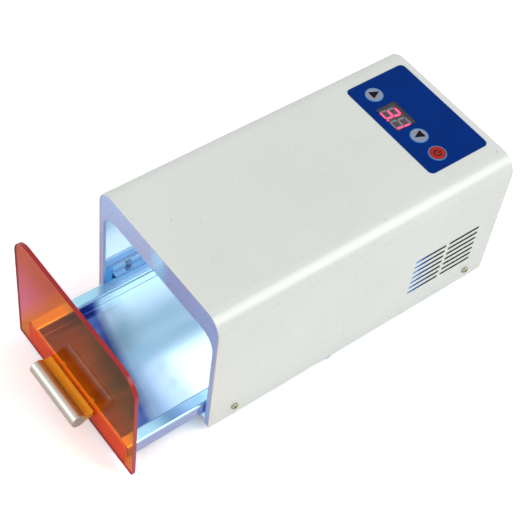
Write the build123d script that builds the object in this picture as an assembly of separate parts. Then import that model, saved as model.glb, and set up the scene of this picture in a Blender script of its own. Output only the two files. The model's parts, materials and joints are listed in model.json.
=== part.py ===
from build123d import *
import math
import os

# Bench-top light curing unit for a dental laboratory.
# A folded steel cover stands on a base pan. Its open front holds a polished chamber with three
# twin-tube lamps under the ceiling. A shallow polished tray runs in and out on two rails behind an
# amber acrylic door with a bar pull. The control keys and the two-digit display sit on the cover's
# top at the rear, over the compartment with the boards, the fan, the inlet and the mains switch.
#
# Everything is drawn in construction coordinates, in millimetres: x runs across the case from its
# middle, y runs back from the case's front face, z runs up from the cover's lower edge. save()
# moves each finished piece to the origin of the whole object.

os.makedirs("parts", exist_ok=True)

LOW = (Align.CENTER, Align.CENTER, Align.MIN)
TOP = (Align.CENTER, Align.CENTER, Align.MAX)
SIDES = (-1, 1)

# ---------------------------------------------------------------- driving dimensions
# clearances
seat_gap = 0.1        # between pieces that are screwed or slipped together
run_gap = 0.3         # between pieces that move past each other
shaft_gap = 0.05      # radial, between a turning or pushed shaft and its bore
thread_gap = 0.05     # radial, between a screw and the hole that holds it
past = 5.0            # how far a cutting block runs past the wall that it cuts

# case
case_w = 140.0
case_h = 122.4
case_l = 262.5
case_r = 15.0
cover_t = 1.2
pan_t = 1.2
pan_side_h = 18.0
sill_h = 5.0
sill_setback = 2.3
lug_y = 108.7
lug_l = 4.5
lug_t = 1.4
lug_reach = 0.3
tab_t = 1.6           # foot tabs that stand on the pan
tab_l = 12.0

# front frame
leg_w = 5.6           # from the case's side to the opening
band_h = 22.9         # from the case's top to the opening
opening_r = 13.0
frame_t = 2.0
frame_setback = 0.2
frame_tab_in = 9.0

# side vents, in two blocks of equal slots
vent_count = 7
vent_pitch = 6.05
vent_low_z = 25.6
vent_l = 30.0
vent_h = 2.2
vent_from_rear = (67.3, 34.5)

# screws, all of one thread
screw_r = 1.5
screw_head_r = 2.8
screw_head_h = 1.9
screw_dome_r = 1.0
screw_hole_r = 1.7
recess_l = 3.2
recess_w = 0.7
recess_d = 1.0
nut_r = 3.2
nut_spigot_r = 2.0
nut_t = 2.2
cover_screw_front = 21.5
cover_screw_rear = 19.8
cover_screw_z = 10.5
cover_screw_tip = 0.6
tip_room = 0.5

# feet
foot_h = 5.0
foot_top_r = 7.5
foot_low_r = 6.2
foot_rim = 0.6
foot_x = 48.0
foot_inset_y = 26.0
foot_well_r = 3.6
foot_well_h = 2.4

# drawer
drawer_out = 62.7     # how far the drawer stands open at rest
drawer_more = 45.0    # how much further it opens, up to its stops
tray_t = 1.0
tray_l = 138.0
tray_floor_z = 12.0
tray_top_z = 22.4
tray_side_gap = 1.5   # between the tray and the frame's legs
tray_flange_w = 10.4
tray_lip_z = 10.5
tray_bend_r = 1.6
ear_l = 8.0
ear_w = 1.9
ear_h = 6.0
front_plate_inset = 0.9
front_plate_t = 1.1
front_plate_r = 5.0
front_plate_z = 0.6
door_overhang = 2.5   # past each side of the case
door_t = 3.3
door_low_z = 2.0
door_drop = 10.4      # from the case's top to the door's
door_r = 17.5
door_low_r = 2.0
door_edge = 0.4

# handle, a drawn aluminium bar
handle_l = 54.7
handle_x = -1.6
handle_z = 19.3
handle_nose_r = 5.9
handle_reach = 17.6
handle_neck_h = 5.6
handle_blend_r = 4.0
handle_edge = 0.5
handle_screw_x = 18.0
handle_thread_l = 9.0

# rails
rail_t = 1.0
rail_front_y = 9.0
rail_back_gap = 8.5   # from the rails to the liner's rear edge
rail_flange_w = 5.0
rail_top_z = 30.0
rivet_r = 1.6
rivet_head_r = 2.6
rivet_head_h = 1.1
rivet_dome_r = 0.65
rivet_drop = 3.0      # from the rail's top edge
rivet_inset_y = 14.0
stop_t = 2.5

# chamber
liner_t = 0.8
liner_drop = 4.4      # from the cover's inside to the liner's ceiling
liner_r = 12.0
liner_flange_w = 9.0
liner_flange_setback = 24.0
liner_rear_gap = 12.5
liner_screw_inset = 17.0
rear_room = 72.5      # from the bulkhead to the case's rear
bulkhead_t = 1.2
bulkhead_slot_l = 40.0
bulkhead_slot_h = 4.0
bulkhead_slot_pitch = 10.0
bulkhead_slot_low_z = 24.0
bulkhead_slot_x = 30.0
bulkhead_slot_rows = 5
bulkhead_tab_w = 120.0
bulkhead_screw_x = 38.0

# lamps
lamp_count = 3
lamp_pitch = 30.0
tube_r = 6.0
tube_spread = 15.0
tube_front_gap = 11.8 # from the front frame to the tubes
bridge_r = 3.2
bridge_inset = 8.0
base_w = 27.5
base_h = 13.0
base_l = 20.0
base_edge_r = 2.0
post_w = 16.0
post_h = 9.0
post_l = 16.0
pin_r = 1.1
pin_l = 6.0
pin_spread = 21.0
socket_w = 28.5
socket_h = 14.0
socket_l = 29.9
socket_screw_x = 10.8
socket_thread_l = 7.0
clip_t = 0.6
clip_l = 8.0
clip_setback = 18.0   # from the tubes' front ends
clip_mouth = 7.0
clip_stem_w = 6.0
clip_stem_l = 0.6

# control panel
panel_from_rear = 61.5
overlay_x = (-50.5, 46.0)
overlay_d = 55.5
overlay_t = 0.5
overlay_r = 4.0
window_x = (-23.5, 1.0)
window_d = 17.5
window_setback = 7.0
window_r = 0.8
window_depth = 1.2
key_r = 7.0
key_proud = 0.4
key_edge_r = 0.3
key_travel = 0.5
key_fit = 0.15
key_collar_r = 8.3
key_collar_t = 1.0
key_stem_r = 1.75
key_up_x = -36.2
key_up_setback = 15.9
key_down_x = 12.8
key_down_setback = 17.2
key_start_x = 32.8
key_start_setback = 17.2
board_x = (-48.0, 44.0)
board_setback = 2.0
board_d = 51.0
board_t = 1.6
board_drop = 8.7      # from the cover's inside to the control board
board_hole_inset = 4.0
standoff_r = 2.8
standoff_wall = 1.2
tact_w = 6.2
tact_h = 3.6
tact_spare = 0.2
tact_engaged = 0.4

# display, two digits of seven bars
display_w = 24.0
display_d = 17.0
display_h = 7.9
digit_w = 7.4
digit_h = 12.6
digit_pitch = 11.6
digit_slant = 8.0
bar_w = 1.7
bar_proud = 0.2
bar_gap = 0.25
dot_r = 0.9
left_lit = ("top", "upper_right", "middle", "lower_right", "bottom")
left_dark = ("upper_left", "lower_left")
right_lit = ("upper_right", "lower_right")
right_dark = ("top", "bottom", "lower_left", "upper_left", "middle")

# power board and what stands on it
power_x = (-62.0, 16.0)
power_setback = 2.8   # from the bulkhead's tab
power_d = 43.0
power_t = 1.6
power_low_z = 8.0
core_w = 32.0
core_d = 26.0
core_h = 24.0
coil_w = 22.0
coil_d = 35.0
coil_h = 17.0
coil_edge_r = 2.0
transformer_x = -43.0
choke_r = 6.5
choke_waist_r = 5.2
choke_h = 12.0
choke_x = -14.0
choke_pitch = 14.5
capacitor_r = 5.0
capacitor_h = 17.0
capacitor_edge_r = 0.8
capacitor_count = 2
capacitor_x = -1.0
capacitor_setback = 8.5
capacitor_pitch = 11.5
relay_w = 12.0
relay_d = 14.0
relay_h = 14.0
relay_inset = 0.5
terminal_w = 9.0
terminal_d = 30.0
terminal_h = 12.0
terminal_ways = 5
terminal_well_r = 1.7
terminal_x = 28.0
terminal_setback = 1.8

# rear panel, fan and mains fittings
rear_t = 1.2
rear_screw_x = 52.0
fan_x = -28.0
fan_drop = 54.4       # from the case's top to the fan's axis
fan_w = 60.0
fan_d = 15.0
fan_r = 28.5
fan_corner_r = 4.0
fan_hole_spacing = 50.0
fan_hole_r = 2.1
fan_screw_r = 1.9
fan_screw_l = 12.0
fan_stator_r = 15.0
fan_stator_t = 3.0
fan_strut_w = 3.0
fan_strut_count = 4
fan_hub_r = 14.0
fan_hub_h = 9.0
fan_hub_edge_r = 1.0
fan_tip_gap = 1.0
fan_shaft_r = 1.5
fan_shaft_l = 2.5
blade_count = 7
blade_t = 1.1
blade_chord = 13.0
blade_pitch = 38.0
guard_wire_r = 0.8
guard_rings = (10.0, 17.5, 25.0)
guard_eye_r = 4.2
guard_facets = 10
inlet_x = 38.0
inlet_drop = 90.4     # from the case's top
inlet_flange_w = 50.0
inlet_flange_h = 23.0
inlet_flange_t = 3.0
inlet_flange_r = 4.0
inlet_body_w = 28.0
inlet_body_h = 20.5
inlet_body_l = 18.0
inlet_well_w = 24.5
inlet_well_h = 17.0
inlet_well_l = 17.0
inlet_well_bevel = 4.5
inlet_screw_spacing = 40.0
inlet_screw_tip = 2.4
blade_pin_w = 2.0
blade_pin_h = 4.0
blade_pin_l = 14.0
blade_pin_spread = 14.0
earth_pin_rise = 3.5
live_pin_drop = 2.0
switch_x = 38.0
switch_drop = 56.4    # from the case's top
switch_w = 15.0
switch_h = 21.0
switch_flange_t = 1.6
switch_edge_r = 0.8
switch_body_w = 13.0
switch_body_h = 19.0
switch_body_l = 15.0
rocker_w = 9.6
rocker_r = 7.4
rocker_sink = 4.6
rocker_crown = 0.6
rocker_tilt = 11.0
fuse_x = 38.0
fuse_drop = 28.4      # from the case's top
fuse_body_r = 6.0
fuse_body_l = 26.0
fuse_flange_r = 7.6
fuse_flange_t = 2.0
fuse_cap_r = 5.8
fuse_cap_l = 6.0
fuse_cap_edge_r = 0.8
fuse_plug_r = 3.6
fuse_plug_l = 8.0
fuse_slot_w = 1.2
fuse_slot_d = 1.0

# ---------------------------------------------------------------- worked-out places
# case and frame
inner_w = case_w - 2 * cover_t
inner_h = case_h - cover_t
inner_r = case_r - cover_t
mouth_w = inner_w - 2 * seat_gap
mouth_h = inner_h - seat_gap
mouth_r = inner_r - seat_gap
pan_inner_w = mouth_w - 2 * pan_t
floor_z = pan_t + seat_gap
rear_y = case_l - rear_t
vent_block_y = [case_l - distance for distance in vent_from_rear]
cover_screw_y = (cover_screw_front, case_l - cover_screw_rear)
opening_w = case_w - 2 * leg_w
opening_h = case_h - band_h
frame_back_y = frame_setback + frame_t
frame_tab_y = (sill_setback + pan_t + seat_gap, sill_setback + pan_t + seat_gap + tab_l)
foot_xy = [(side * foot_x, y) for side in SIDES for y in (foot_inset_y, case_l - foot_inset_y)]

# chamber and lamps
liner_w = pan_inner_w - 2 * seat_gap
liner_inner_w = liner_w - 2 * liner_t
liner_top_z = inner_h - liner_drop
ceiling_z = liner_top_z - liner_t
liner_front_y = frame_back_y + seat_gap
bulkhead_y = case_l - rear_room
bulkhead_back_y = bulkhead_y + bulkhead_t
bulkhead_tab_y = bulkhead_back_y + tab_l
liner_back_y = bulkhead_y - liner_rear_gap
base_front_y = bulkhead_y - socket_l - seat_gap - base_l
tube_front_y = frame_back_y + tube_front_gap
lamp_z = ceiling_z - clip_stem_l - clip_t - run_gap / 2 - tube_r
lamp_first_x = -(lamp_count - 1) * lamp_pitch / 2
lamp_x_places = [lamp_first_x + i * lamp_pitch for i in range(lamp_count)]

# drawer and rails
door_back_y = -drawer_out
door_front_y = door_back_y - door_t
door_w = case_w + 2 * door_overhang
door_top_z = case_h - door_drop
plate_back_y = door_back_y + front_plate_t
tray_w = opening_w - 2 * tray_side_gap
tray_inner_w = tray_w - 2 * tray_flange_w
tray_front_y = plate_back_y + seat_gap
tray_back_y = tray_front_y + tray_l
rail_outer_x = liner_inner_w / 2 - seat_gap
rail_web_x = rail_outer_x - rail_t
rail_back_y = liner_back_y - rail_back_gap
rail_shelf_z = tray_lip_z - run_gap
rail_guide_z = tray_top_z + run_gap
stop_y = tray_back_y - ear_l - drawer_more - run_gap
rivet_z = rail_top_z - rivet_drop
rivet_first_y = rail_front_y + rivet_inset_y
rivet_last_y = rail_back_y - rivet_inset_y
rivet_y_places = [rivet_first_y, (rivet_first_y + rivet_last_y) / 2, rivet_last_y]
handle_screw_places = [handle_x + side * handle_screw_x for side in SIDES]

# screws that come up through the pan
frame_screw_xy = (opening_w / 2 - frame_tab_in / 2, sum(frame_tab_y) / 2)
liner_screw_x = liner_w / 2 - liner_flange_w / 2
liner_flange_y = (liner_flange_setback, liner_back_y)
liner_screw_y = (liner_flange_y[0] + liner_screw_inset, liner_flange_y[1] - liner_screw_inset)
bulkhead_screw_y = bulkhead_back_y + tab_l / 2
rear_screw_y = rear_y - tab_l / 2
base_screw_right = [
    frame_screw_xy,
    (liner_screw_x, liner_screw_y[0]),
    (liner_screw_x, liner_screw_y[1]),
    (bulkhead_screw_x, bulkhead_screw_y),
    (rear_screw_x, rear_screw_y),
]
base_screw_xy = [(side * x, y) for side in SIDES for x, y in base_screw_right]

# control panel
panel_y = case_l - panel_from_rear
overlay_y = (panel_y, panel_y + overlay_d)
overlay_top_z = case_h + overlay_t
window_y = (panel_y + window_setback, panel_y + window_setback + window_d)
key_up_xy = (key_up_x, panel_y + key_up_setback)
key_down_xy = (key_down_x, panel_y + key_down_setback)
key_start_xy = (key_start_x, panel_y + key_start_setback)
key_places = (key_up_xy, key_down_xy, key_start_xy)
board_y = (panel_y + board_setback, panel_y + board_setback + board_d)
board_top_z = inner_h - board_drop
tact_well = tact_engaged + key_travel + tact_spare
display_x = sum(window_x) / 2
display_y = sum(window_y) / 2
display_top_z = board_top_z + display_h
slant_run = math.tan(math.radians(digit_slant))

# rear compartment
power_y = (bulkhead_tab_y + power_setback, bulkhead_tab_y + power_setback + power_d)
power_mid_y = sum(power_y) / 2
power_top_z = power_low_z + power_t
terminal_y = (bulkhead_tab_y + terminal_setback, bulkhead_tab_y + terminal_setback + terminal_d)
fan_z = case_h - fan_drop
fan_front_y = rear_y - seat_gap - fan_d
fan_half = fan_hole_spacing / 2
fan_hole_xz = [(fan_x + i * fan_half, fan_z + j * fan_half) for i in SIDES for j in SIDES]
inlet_z = case_h - inlet_drop
switch_z = case_h - switch_drop
fuse_z = case_h - fuse_drop
fitting_y = case_l + seat_gap
inlet_screw_places = [inlet_x + side * inlet_screw_spacing / 2 for side in SIDES]
inlet_back_y = fitting_y + inlet_flange_t
switch_back_y = fitting_y + switch_flange_t
rocker_y = switch_back_y - rocker_sink

# the object's origin: under the middle of its outline, on the surface that it stands on
front_reach = drawer_out + door_t + handle_reach
guard_depth = 3 * guard_wire_r
rear_reach = max(fitting_y + guard_depth + screw_head_h, fitting_y + fuse_flange_t + seat_gap + fuse_cap_l)
origin_move = Pos(0, (front_reach - rear_reach) / 2, foot_h)


# ---------------------------------------------------------------- helpers
def save(name, *solids):
    """Write one sub-part, as one solid or a group, moved to the object's origin."""
    moved = [origin_move * solid for solid in solids]
    node = moved[0] if len(moved) == 1 else Compound(children=moved)
    export_step(node, f"parts/{name}.step")


def block(x, y, z):
    """Box between two x, two y and two z values."""
    size = Box(x[1] - x[0], y[1] - y[0], z[1] - z[0], align=(Align.MIN,) * 3)
    return Pos(x[0], y[0], z[0]) * size


def about(middle, width):
    """Pair of values half a width to each side of a middle."""
    return (middle - width / 2, middle + width / 2)


def arch(width, height, radius, y, low_z=0.0):
    """Block across the case whose two upper long edges are rounded."""
    solid = block(about(0, width), y, (low_z, height))
    return fillet(solid.edges().filter_by(Axis.Y).group_by(Axis.Z)[-1], radius)


def both_sides(solid):
    """The solid and its mirror image across the case."""
    return [solid, mirror(solid, Plane.YZ)]


def rod(radius, y, x, z):
    """Cylinder along y between two y values."""
    return Pos(x, y[0], z) * Rot(-90, 0, 0) * Cylinder(radius, y[1] - y[0], align=LOW)


def post(radius, x, y, z):
    """Upright cylinder between two z values."""
    return Pos(x, y, z[0]) * Cylinder(radius, z[1] - z[0], align=LOW)


def cross_rod(radius, y, z):
    """Cylinder that runs across the whole case."""
    return Pos(0, y, z) * Rot(0, 90, 0) * Cylinder(radius, case_w + 2 * past)


def rear_block(width, height, x, z, y):
    """Block behind or through the rear panel, given by its middle and its two y values."""
    return block(about(x, width), y, about(z, height))


def pan_screw(length, radius=screw_r):
    """Pan-head screw with a cross recess: head above z = 0, shank below it."""
    head = Cylinder(screw_head_r, screw_head_h, align=LOW)
    head = fillet(head.edges().group_by(Axis.Z)[-1], screw_dome_r)
    shank = Cylinder(radius - thread_gap, length, align=TOP)
    recess = Box(recess_l, recess_w, recess_d, align=TOP)
    recess += Box(recess_w, recess_l, recess_d, align=TOP)
    return head + shank - Pos(0, 0, screw_head_h) * recess


def screw_up(length, x, y, z):
    """Screw driven upwards, its head's seat at height z."""
    return Pos(x, y, z) * Rot(180, 0, 0) * pan_screw(length)


def screw_forward(length, x, y, z, radius=screw_r):
    """Screw driven towards the front, its head's seat at y."""
    return Pos(x, y, z) * Rot(-90, 0, 0) * pan_screw(length, radius)


# ---------------------------------------------------------------- case
def make_cover():
    """Folded steel cover: top and two sides in one sheet, with vents, screw and panel cut-outs."""
    cover = arch(case_w, case_h, case_r, (0, case_l))
    cover -= arch(inner_w, inner_h, inner_r, (-past, case_l + past), -past)
    for centre_y in vent_block_y:
        for row in range(vent_count):
            slot = Plane.YZ * Pos(centre_y, vent_low_z + row * vent_pitch) * SlotOverall(vent_l, vent_h)
            cover -= extrude(slot, amount=case_w, both=True)
    for y in cover_screw_y:
        cover -= cross_rod(screw_hole_r, y, cover_screw_z)
    cover -= window_cut(seat_gap)
    for x, y in key_places:
        cover -= post(key_r + run_gap, x, y, (case_h - past, case_h + past))
    return cover


def window_cut(gap):
    """Rounded cut for the display window, wider than it by the gap all round."""
    x = (window_x[0] - gap, window_x[1] + gap)
    y = (window_y[0] - gap, window_y[1] + gap)
    cut = block(x, y, (case_h - past, case_h + past))
    return fillet(cut.edges().filter_by(Axis.Z), window_r)


def make_base_pan():
    """Base pan: floor, two side flanges, a low front sill and a lug under each side of the cover."""
    half = mouth_w / 2
    back_y = rear_y - seat_gap
    side_front_y = frame_back_y + seat_gap
    sill_x = opening_w / 2 - seat_gap
    pan = block((-half, half), (sill_setback, back_y), (0, pan_t))
    pan += both_sides(block((half - pan_t, half), (side_front_y, back_y), (0, pan_side_h)))
    pan += block((-sill_x, sill_x), (sill_setback, sill_setback + pan_t), (0, sill_h))
    pan += both_sides(block((half - past, case_w / 2 + lug_reach), about(lug_y, lug_l), (-lug_t, 0)))
    for y in cover_screw_y:
        pan -= cross_rod(screw_r, y, cover_screw_z)
    for x, y in foot_xy:
        pan -= post(nut_spigot_r, x, y, (-past, past))
    for x, y in base_screw_xy:
        pan -= post(screw_hole_r, x, y, (-past, past))
    return pan


def make_foot_nuts():
    """Press nuts in the pan's floor for the feet: a spigot in the pan under a wider collar."""
    nut = Cylinder(nut_r, nut_t, align=LOW) + Cylinder(nut_spigot_r, pan_t, align=TOP)
    nut -= Cylinder(screw_r, 2 * past)
    return [Pos(x, y, pan_t) * nut for x, y in foot_xy]


def make_cover_screws():
    """Four pan-head screws through the cover's sides into the pan's threaded flanges."""
    length = cover_t + seat_gap + pan_t + cover_screw_tip
    screws = []
    for y in cover_screw_y:
        screws += both_sides(Pos(case_w / 2, y, cover_screw_z) * Rot(0, 90, 0) * pan_screw(length))
    return screws


def make_front_frame():
    """Painted front frame: an arch in the cover's mouth, with a foot tab behind each leg."""
    frame = arch(mouth_w, mouth_h, mouth_r, (frame_setback, frame_back_y), seat_gap)
    frame -= arch(opening_w, opening_h, opening_r, (-past, past), -past)
    tab_z = (floor_z, floor_z + tab_t)
    leg_x = (opening_w / 2, pan_inner_w / 2 - seat_gap)
    tab = block(leg_x, (frame_setback, frame_tab_y[1]), tab_z)
    tab += block((opening_w / 2 - frame_tab_in, leg_x[1]), frame_tab_y, tab_z)
    tab -= post(screw_r, *frame_screw_xy, (-past, past))
    return frame + both_sides(tab)


def make_base_screws():
    """Screws from below that hold the frame, the liner, the bulkhead and the rear panel."""
    return [screw_up(floor_z + tab_t, x, y, 0) for x, y in base_screw_xy]


def make_feet():
    """Four tapered rubber feet with a well for the screw's head."""
    foot = Pos(0, 0, -foot_rim) * Cone(foot_low_r, foot_top_r, foot_h - foot_rim, align=TOP)
    foot += Cylinder(foot_top_r, foot_rim, align=TOP)
    foot -= Pos(0, 0, -foot_h) * Cylinder(foot_well_r, foot_well_h, align=LOW)
    foot -= Cylinder(screw_hole_r, 2 * foot_h)
    return [Pos(x, y, 0) * foot for x, y in foot_xy]


def make_foot_screws():
    """One screw up through each foot into its press nut."""
    seat_z = foot_well_h - foot_h
    return [screw_up(pan_t + nut_t - seat_z, x, y, seat_z) for x, y in foot_xy]


def make_rear_panel():
    """Rear panel: a sheet in the cover's rear mouth with a flange on the pan and its cut-outs."""
    through_y = (rear_y - past, case_l + past)
    panel = arch(mouth_w, mouth_h, mouth_r, (rear_y, case_l))
    flange_w = pan_inner_w - 2 * seat_gap
    panel += block(about(0, flange_w), (rear_y - tab_l, rear_y), (floor_z, floor_z + tab_t))
    panel -= rod(fan_r, through_y, fan_x, fan_z)
    for x, z in fan_hole_xz:
        panel -= rod(fan_hole_r, through_y, x, z)
    gap = 2 * seat_gap
    panel -= rear_block(inlet_body_w + gap, inlet_body_h + gap, inlet_x, inlet_z, through_y)
    for x in inlet_screw_places:
        panel -= rod(screw_r, through_y, x, inlet_z)
    panel -= rear_block(switch_body_w + gap, switch_body_h + gap, switch_x, switch_z, through_y)
    panel -= rod(fuse_body_r + seat_gap, through_y, fuse_x, fuse_z)
    for side in SIDES:
        panel -= post(screw_r, side * rear_screw_x, rear_screw_y, (-past, past))
    return panel


# ---------------------------------------------------------------- drawer
def make_tray():
    """Shallow folded tray: floor, four walls, side flanges with turned-down lips, stop ears."""
    mid = tray_t / 2
    lip_x = tray_w / 2 - mid
    wall_x = tray_inner_w / 2 + mid
    top_z = tray_top_z - mid
    low_z = tray_floor_z - mid
    right = [(lip_x, tray_lip_z), (lip_x, top_z), (wall_x, top_z), (wall_x, low_z)]
    left = [(-x, z) for x, z in reversed(right)]
    line = FilletPolyline(*right, *left, radius=tray_bend_r)
    section = Plane.XZ * trace(line, line_width=tray_t)
    tray = Pos(0, tray_back_y, 0) * extrude(section, amount=tray_l)
    end_z = (low_z, tray_top_z)
    tray += block((-wall_x, wall_x), (tray_front_y, tray_front_y + tray_t), end_z)
    tray += block((-wall_x, wall_x), (tray_back_y - tray_t, tray_back_y), end_z)
    ear_z = (tray_lip_z + tray_t, tray_lip_z + tray_t + ear_h)
    ear = block((lip_x, tray_w / 2 + ear_w), (tray_back_y - ear_l, tray_back_y), ear_z)
    tray += both_sides(ear)
    for x in handle_screw_places:
        tray -= rod(screw_hole_r, (tray_front_y - past, tray_front_y + past), x, handle_z)
    return tray


def make_tray_front():
    """Front plate between the tray and the door, with rounded upper corners."""
    width = tray_w - 2 * front_plate_inset
    plate = arch(width, tray_top_z, front_plate_r, (door_back_y, plate_back_y), front_plate_z)
    for x in handle_screw_places:
        plate -= rod(screw_hole_r, (door_back_y - past, door_back_y + past), x, handle_z)
    return plate


def make_door():
    """Clear amber door with large upper and small lower corners and softened edges."""
    door = arch(door_w, door_top_z, door_r, (door_front_y, door_back_y - seat_gap), door_low_z)
    door = fillet(door.edges().filter_by(Axis.Y).group_by(Axis.Z)[0], door_low_r)
    door = chamfer(door.faces().filter_by(Axis.Y).edges(), door_edge)
    for x in handle_screw_places:
        door -= rod(screw_hole_r, (door_front_y - past, door_front_y + past), x, handle_z)
    return door


def make_handle():
    """Bar pull: a round nose on a flat neck that meets it in two hollow curves."""
    nose_y = door_front_y - handle_reach + handle_nose_r
    seat_y = door_front_y - seat_gap
    section = Circle(handle_nose_r)
    section += Rectangle(seat_y - nose_y, handle_neck_h, align=(Align.MIN, Align.CENTER))
    corner_x = math.sqrt(handle_nose_r ** 2 - (handle_neck_h / 2) ** 2)
    corners = [corner for corner in section.vertices() if abs(corner.X - corner_x) < 0.01]
    section = fillet(corners, handle_blend_r)
    bar = extrude(Plane.YZ * section, amount=handle_l / 2, both=True)
    bar = Pos(handle_x, nose_y, handle_z) * bar
    end_edges = bar.faces().filter_by(Axis.X).edges().filter_by(GeomType.CIRCLE)
    bar = chamfer(end_edges, handle_edge)
    for x in handle_screw_places:
        bar -= rod(screw_r, (seat_y - handle_thread_l, seat_y), x, handle_z)
    return bar


def make_handle_screws():
    """Two screws from inside the tray, through the plate and the door into the bar pull."""
    seat_y = tray_front_y + tray_t
    length = seat_y - door_front_y + handle_thread_l - 2 * seat_gap
    return [screw_forward(length, x, seat_y, handle_z) for x in handle_screw_places]


def make_rail():
    """Right-hand rail: a web on the liner, a shelf under the tray's lip, a guide over its flange."""
    span = (rail_front_y, rail_back_y)
    shelf_low_z = rail_shelf_z - rail_t
    flange_x = (rail_web_x - rail_flange_w, rail_outer_x)
    rail = block((rail_web_x, rail_outer_x), span, (shelf_low_z, rail_top_z))
    rail += block(flange_x, span, (shelf_low_z, rail_shelf_z))
    rail += block(flange_x, span, (rail_guide_z, rail_guide_z + rail_t))
    stop_x = (tray_w / 2 + run_gap, rail_outer_x)
    rail += block(stop_x, (stop_y - stop_t, stop_y), (rail_shelf_z, rail_shelf_z + ear_h))
    for y in rivet_y_places:
        rail -= cross_rod(rivet_r, y, rivet_z)
    return rail


def make_rail_rivets():
    """Rivets that hold both rails to the liner's walls."""
    length = liner_w / 2 - rail_web_x
    dome = Cylinder(rivet_head_r, rivet_head_h, align=LOW)
    dome = fillet(dome.edges().group_by(Axis.Z)[-1], rivet_dome_r)
    tail = Pos(0, 0, -length) * Cylinder(rivet_head_r, rivet_head_h / 2, align=TOP)
    rivet = dome + tail + Cylinder(rivet_r - thread_gap, length, align=TOP)
    rivets = []
    for y in rivet_y_places:
        rivets += both_sides(Pos(rail_web_x, y, rivet_z) * Rot(0, -90, 0) * rivet)
    return rivets


# ---------------------------------------------------------------- chamber and lamps
def make_liner():
    """Polished chamber liner: two walls and a ceiling in one sheet, with flanges on the pan."""
    liner = arch(liner_w, liner_top_z, liner_r, (liner_front_y, liner_back_y), floor_z)
    liner -= arch(liner_inner_w, ceiling_z, liner_r - liner_t, (-past, case_l), -past)
    flange_x = (liner_w / 2 - liner_flange_w, liner_w / 2 - liner_t / 2)
    liner += both_sides(block(flange_x, liner_flange_y, (floor_z, floor_z + liner_t)))
    notch_top_z = floor_z + tab_t + seat_gap
    liner -= block((-case_w, case_w), (0, frame_tab_y[1] + seat_gap), (0, notch_top_z))
    for x, y in base_screw_xy:
        liner -= post(screw_r, x, y, (-past, past))
    for y in cover_screw_y:
        liner -= cross_rod(screw_hole_r + tip_room, y, cover_screw_z)
    for y in rivet_y_places:
        liner -= cross_rod(rivet_r, y, rivet_z)
    return liner


def make_bulkhead():
    """Sheet between the chamber and the rear compartment, slotted for air, with a foot tab."""
    sheet = arch(liner_w, liner_top_z, liner_r, (bulkhead_y, bulkhead_back_y), floor_z)
    tab_z = (floor_z, floor_z + tab_t)
    sheet += block(about(0, bulkhead_tab_w), (bulkhead_y, bulkhead_tab_y), tab_z)
    for side in SIDES:
        sheet -= post(screw_r, side * bulkhead_screw_x, bulkhead_screw_y, (-past, past))
        for row in range(bulkhead_slot_rows):
            z = bulkhead_slot_low_z + row * bulkhead_slot_pitch
            place = Plane.XZ * Pos(side * bulkhead_slot_x, z)
            slot = place * SlotOverall(bulkhead_slot_l, bulkhead_slot_h)
            sheet -= extrude(slot, amount=case_l, both=True)
    for x in socket_screw_places():
        sheet -= rod(screw_r, (bulkhead_y - past, bulkhead_y + past), x, lamp_z)
    return sheet


def make_lamp_tube(x):
    """Twin glass tube with round ends, joined by a short bridge near the front."""
    tip_y = tube_front_y + tube_r
    tube = rod(tube_r, (tip_y, base_front_y), 0, 0) + Pos(0, tip_y, 0) * Sphere(tube_r)
    half = tube_spread / 2
    bridge = Rot(0, 90, 0) * Cylinder(bridge_r, tube_spread)
    lamp = Pos(-half, 0, 0) * tube + Pos(half, 0, 0) * tube
    lamp += Pos(0, tube_front_y + bridge_inset, 0) * bridge
    return Pos(x, 0, lamp_z) * lamp


def make_lamp_base(x):
    """Lamp base with a guide post and two contact pins at its rear."""
    back_y = base_front_y + base_l
    base = rear_block(base_w, base_h, 0, 0, (base_front_y, back_y))
    base = fillet(base.edges().filter_by(Axis.Y), base_edge_r)
    base += rear_block(post_w, post_h, 0, 0, (back_y, back_y + post_l))
    for side in SIDES:
        base += rod(pin_r, (back_y, back_y + pin_l), side * pin_spread / 2, 0)
    return Pos(x, 0, lamp_z) * base


def make_lamp_sockets():
    """Lamp sockets on the bulkhead, each with a well for the guide post and two pin holes."""
    front_y = bulkhead_y - socket_l
    gap = 2 * seat_gap
    socket = rear_block(socket_w, socket_h, 0, 0, (front_y, bulkhead_y))
    socket = fillet(socket.edges().filter_by(Axis.Y), base_edge_r)
    socket -= rear_block(post_w + gap, post_h + gap, 0, 0, (front_y - past, front_y + post_l))
    for side in SIDES:
        socket -= rod(pin_r + thread_gap, (front_y - past, front_y + pin_l), side * pin_spread / 2, 0)
        thread_y = (bulkhead_y - socket_thread_l, bulkhead_y)
        socket -= rod(screw_r, thread_y, side * socket_screw_x, 0)
    return [Pos(x, 0, lamp_z) * socket for x in lamp_x_places]


def socket_screw_places():
    """The x places of the socket screws, two for each lamp."""
    return [x + side * socket_screw_x for x in lamp_x_places for side in SIDES]


def make_socket_screws():
    """Two screws for each socket, from the rear through the bulkhead."""
    length = bulkhead_t + socket_thread_l - seat_gap
    return [screw_forward(length, x, bulkhead_back_y, lamp_z) for x in socket_screw_places()]


def make_lamp_clips():
    """Spring clips on the ceiling: a strap and two open rings around each lamp's tubes."""
    half = tube_spread / 2
    ring_r = tube_r + run_gap / 2
    span = (0, clip_l)
    strap_z = (ring_r, ring_r + clip_t)
    clip = block((-half, half), span, strap_z)
    for side in SIDES:
        x = side * half
        ring = rod(ring_r + clip_t, span, x, 0) - rod(ring_r, (-past, clip_l + past), x, 0)
        ring -= block(about(x, clip_mouth), (-past, clip_l + past), (-2 * tube_r, 0))
        clip += ring
    clip += block(about(0, clip_stem_w), span, (ring_r, ceiling_z - lamp_z))
    return [Pos(x, tube_front_y + clip_setback, lamp_z) * clip for x in lamp_x_places]


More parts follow.
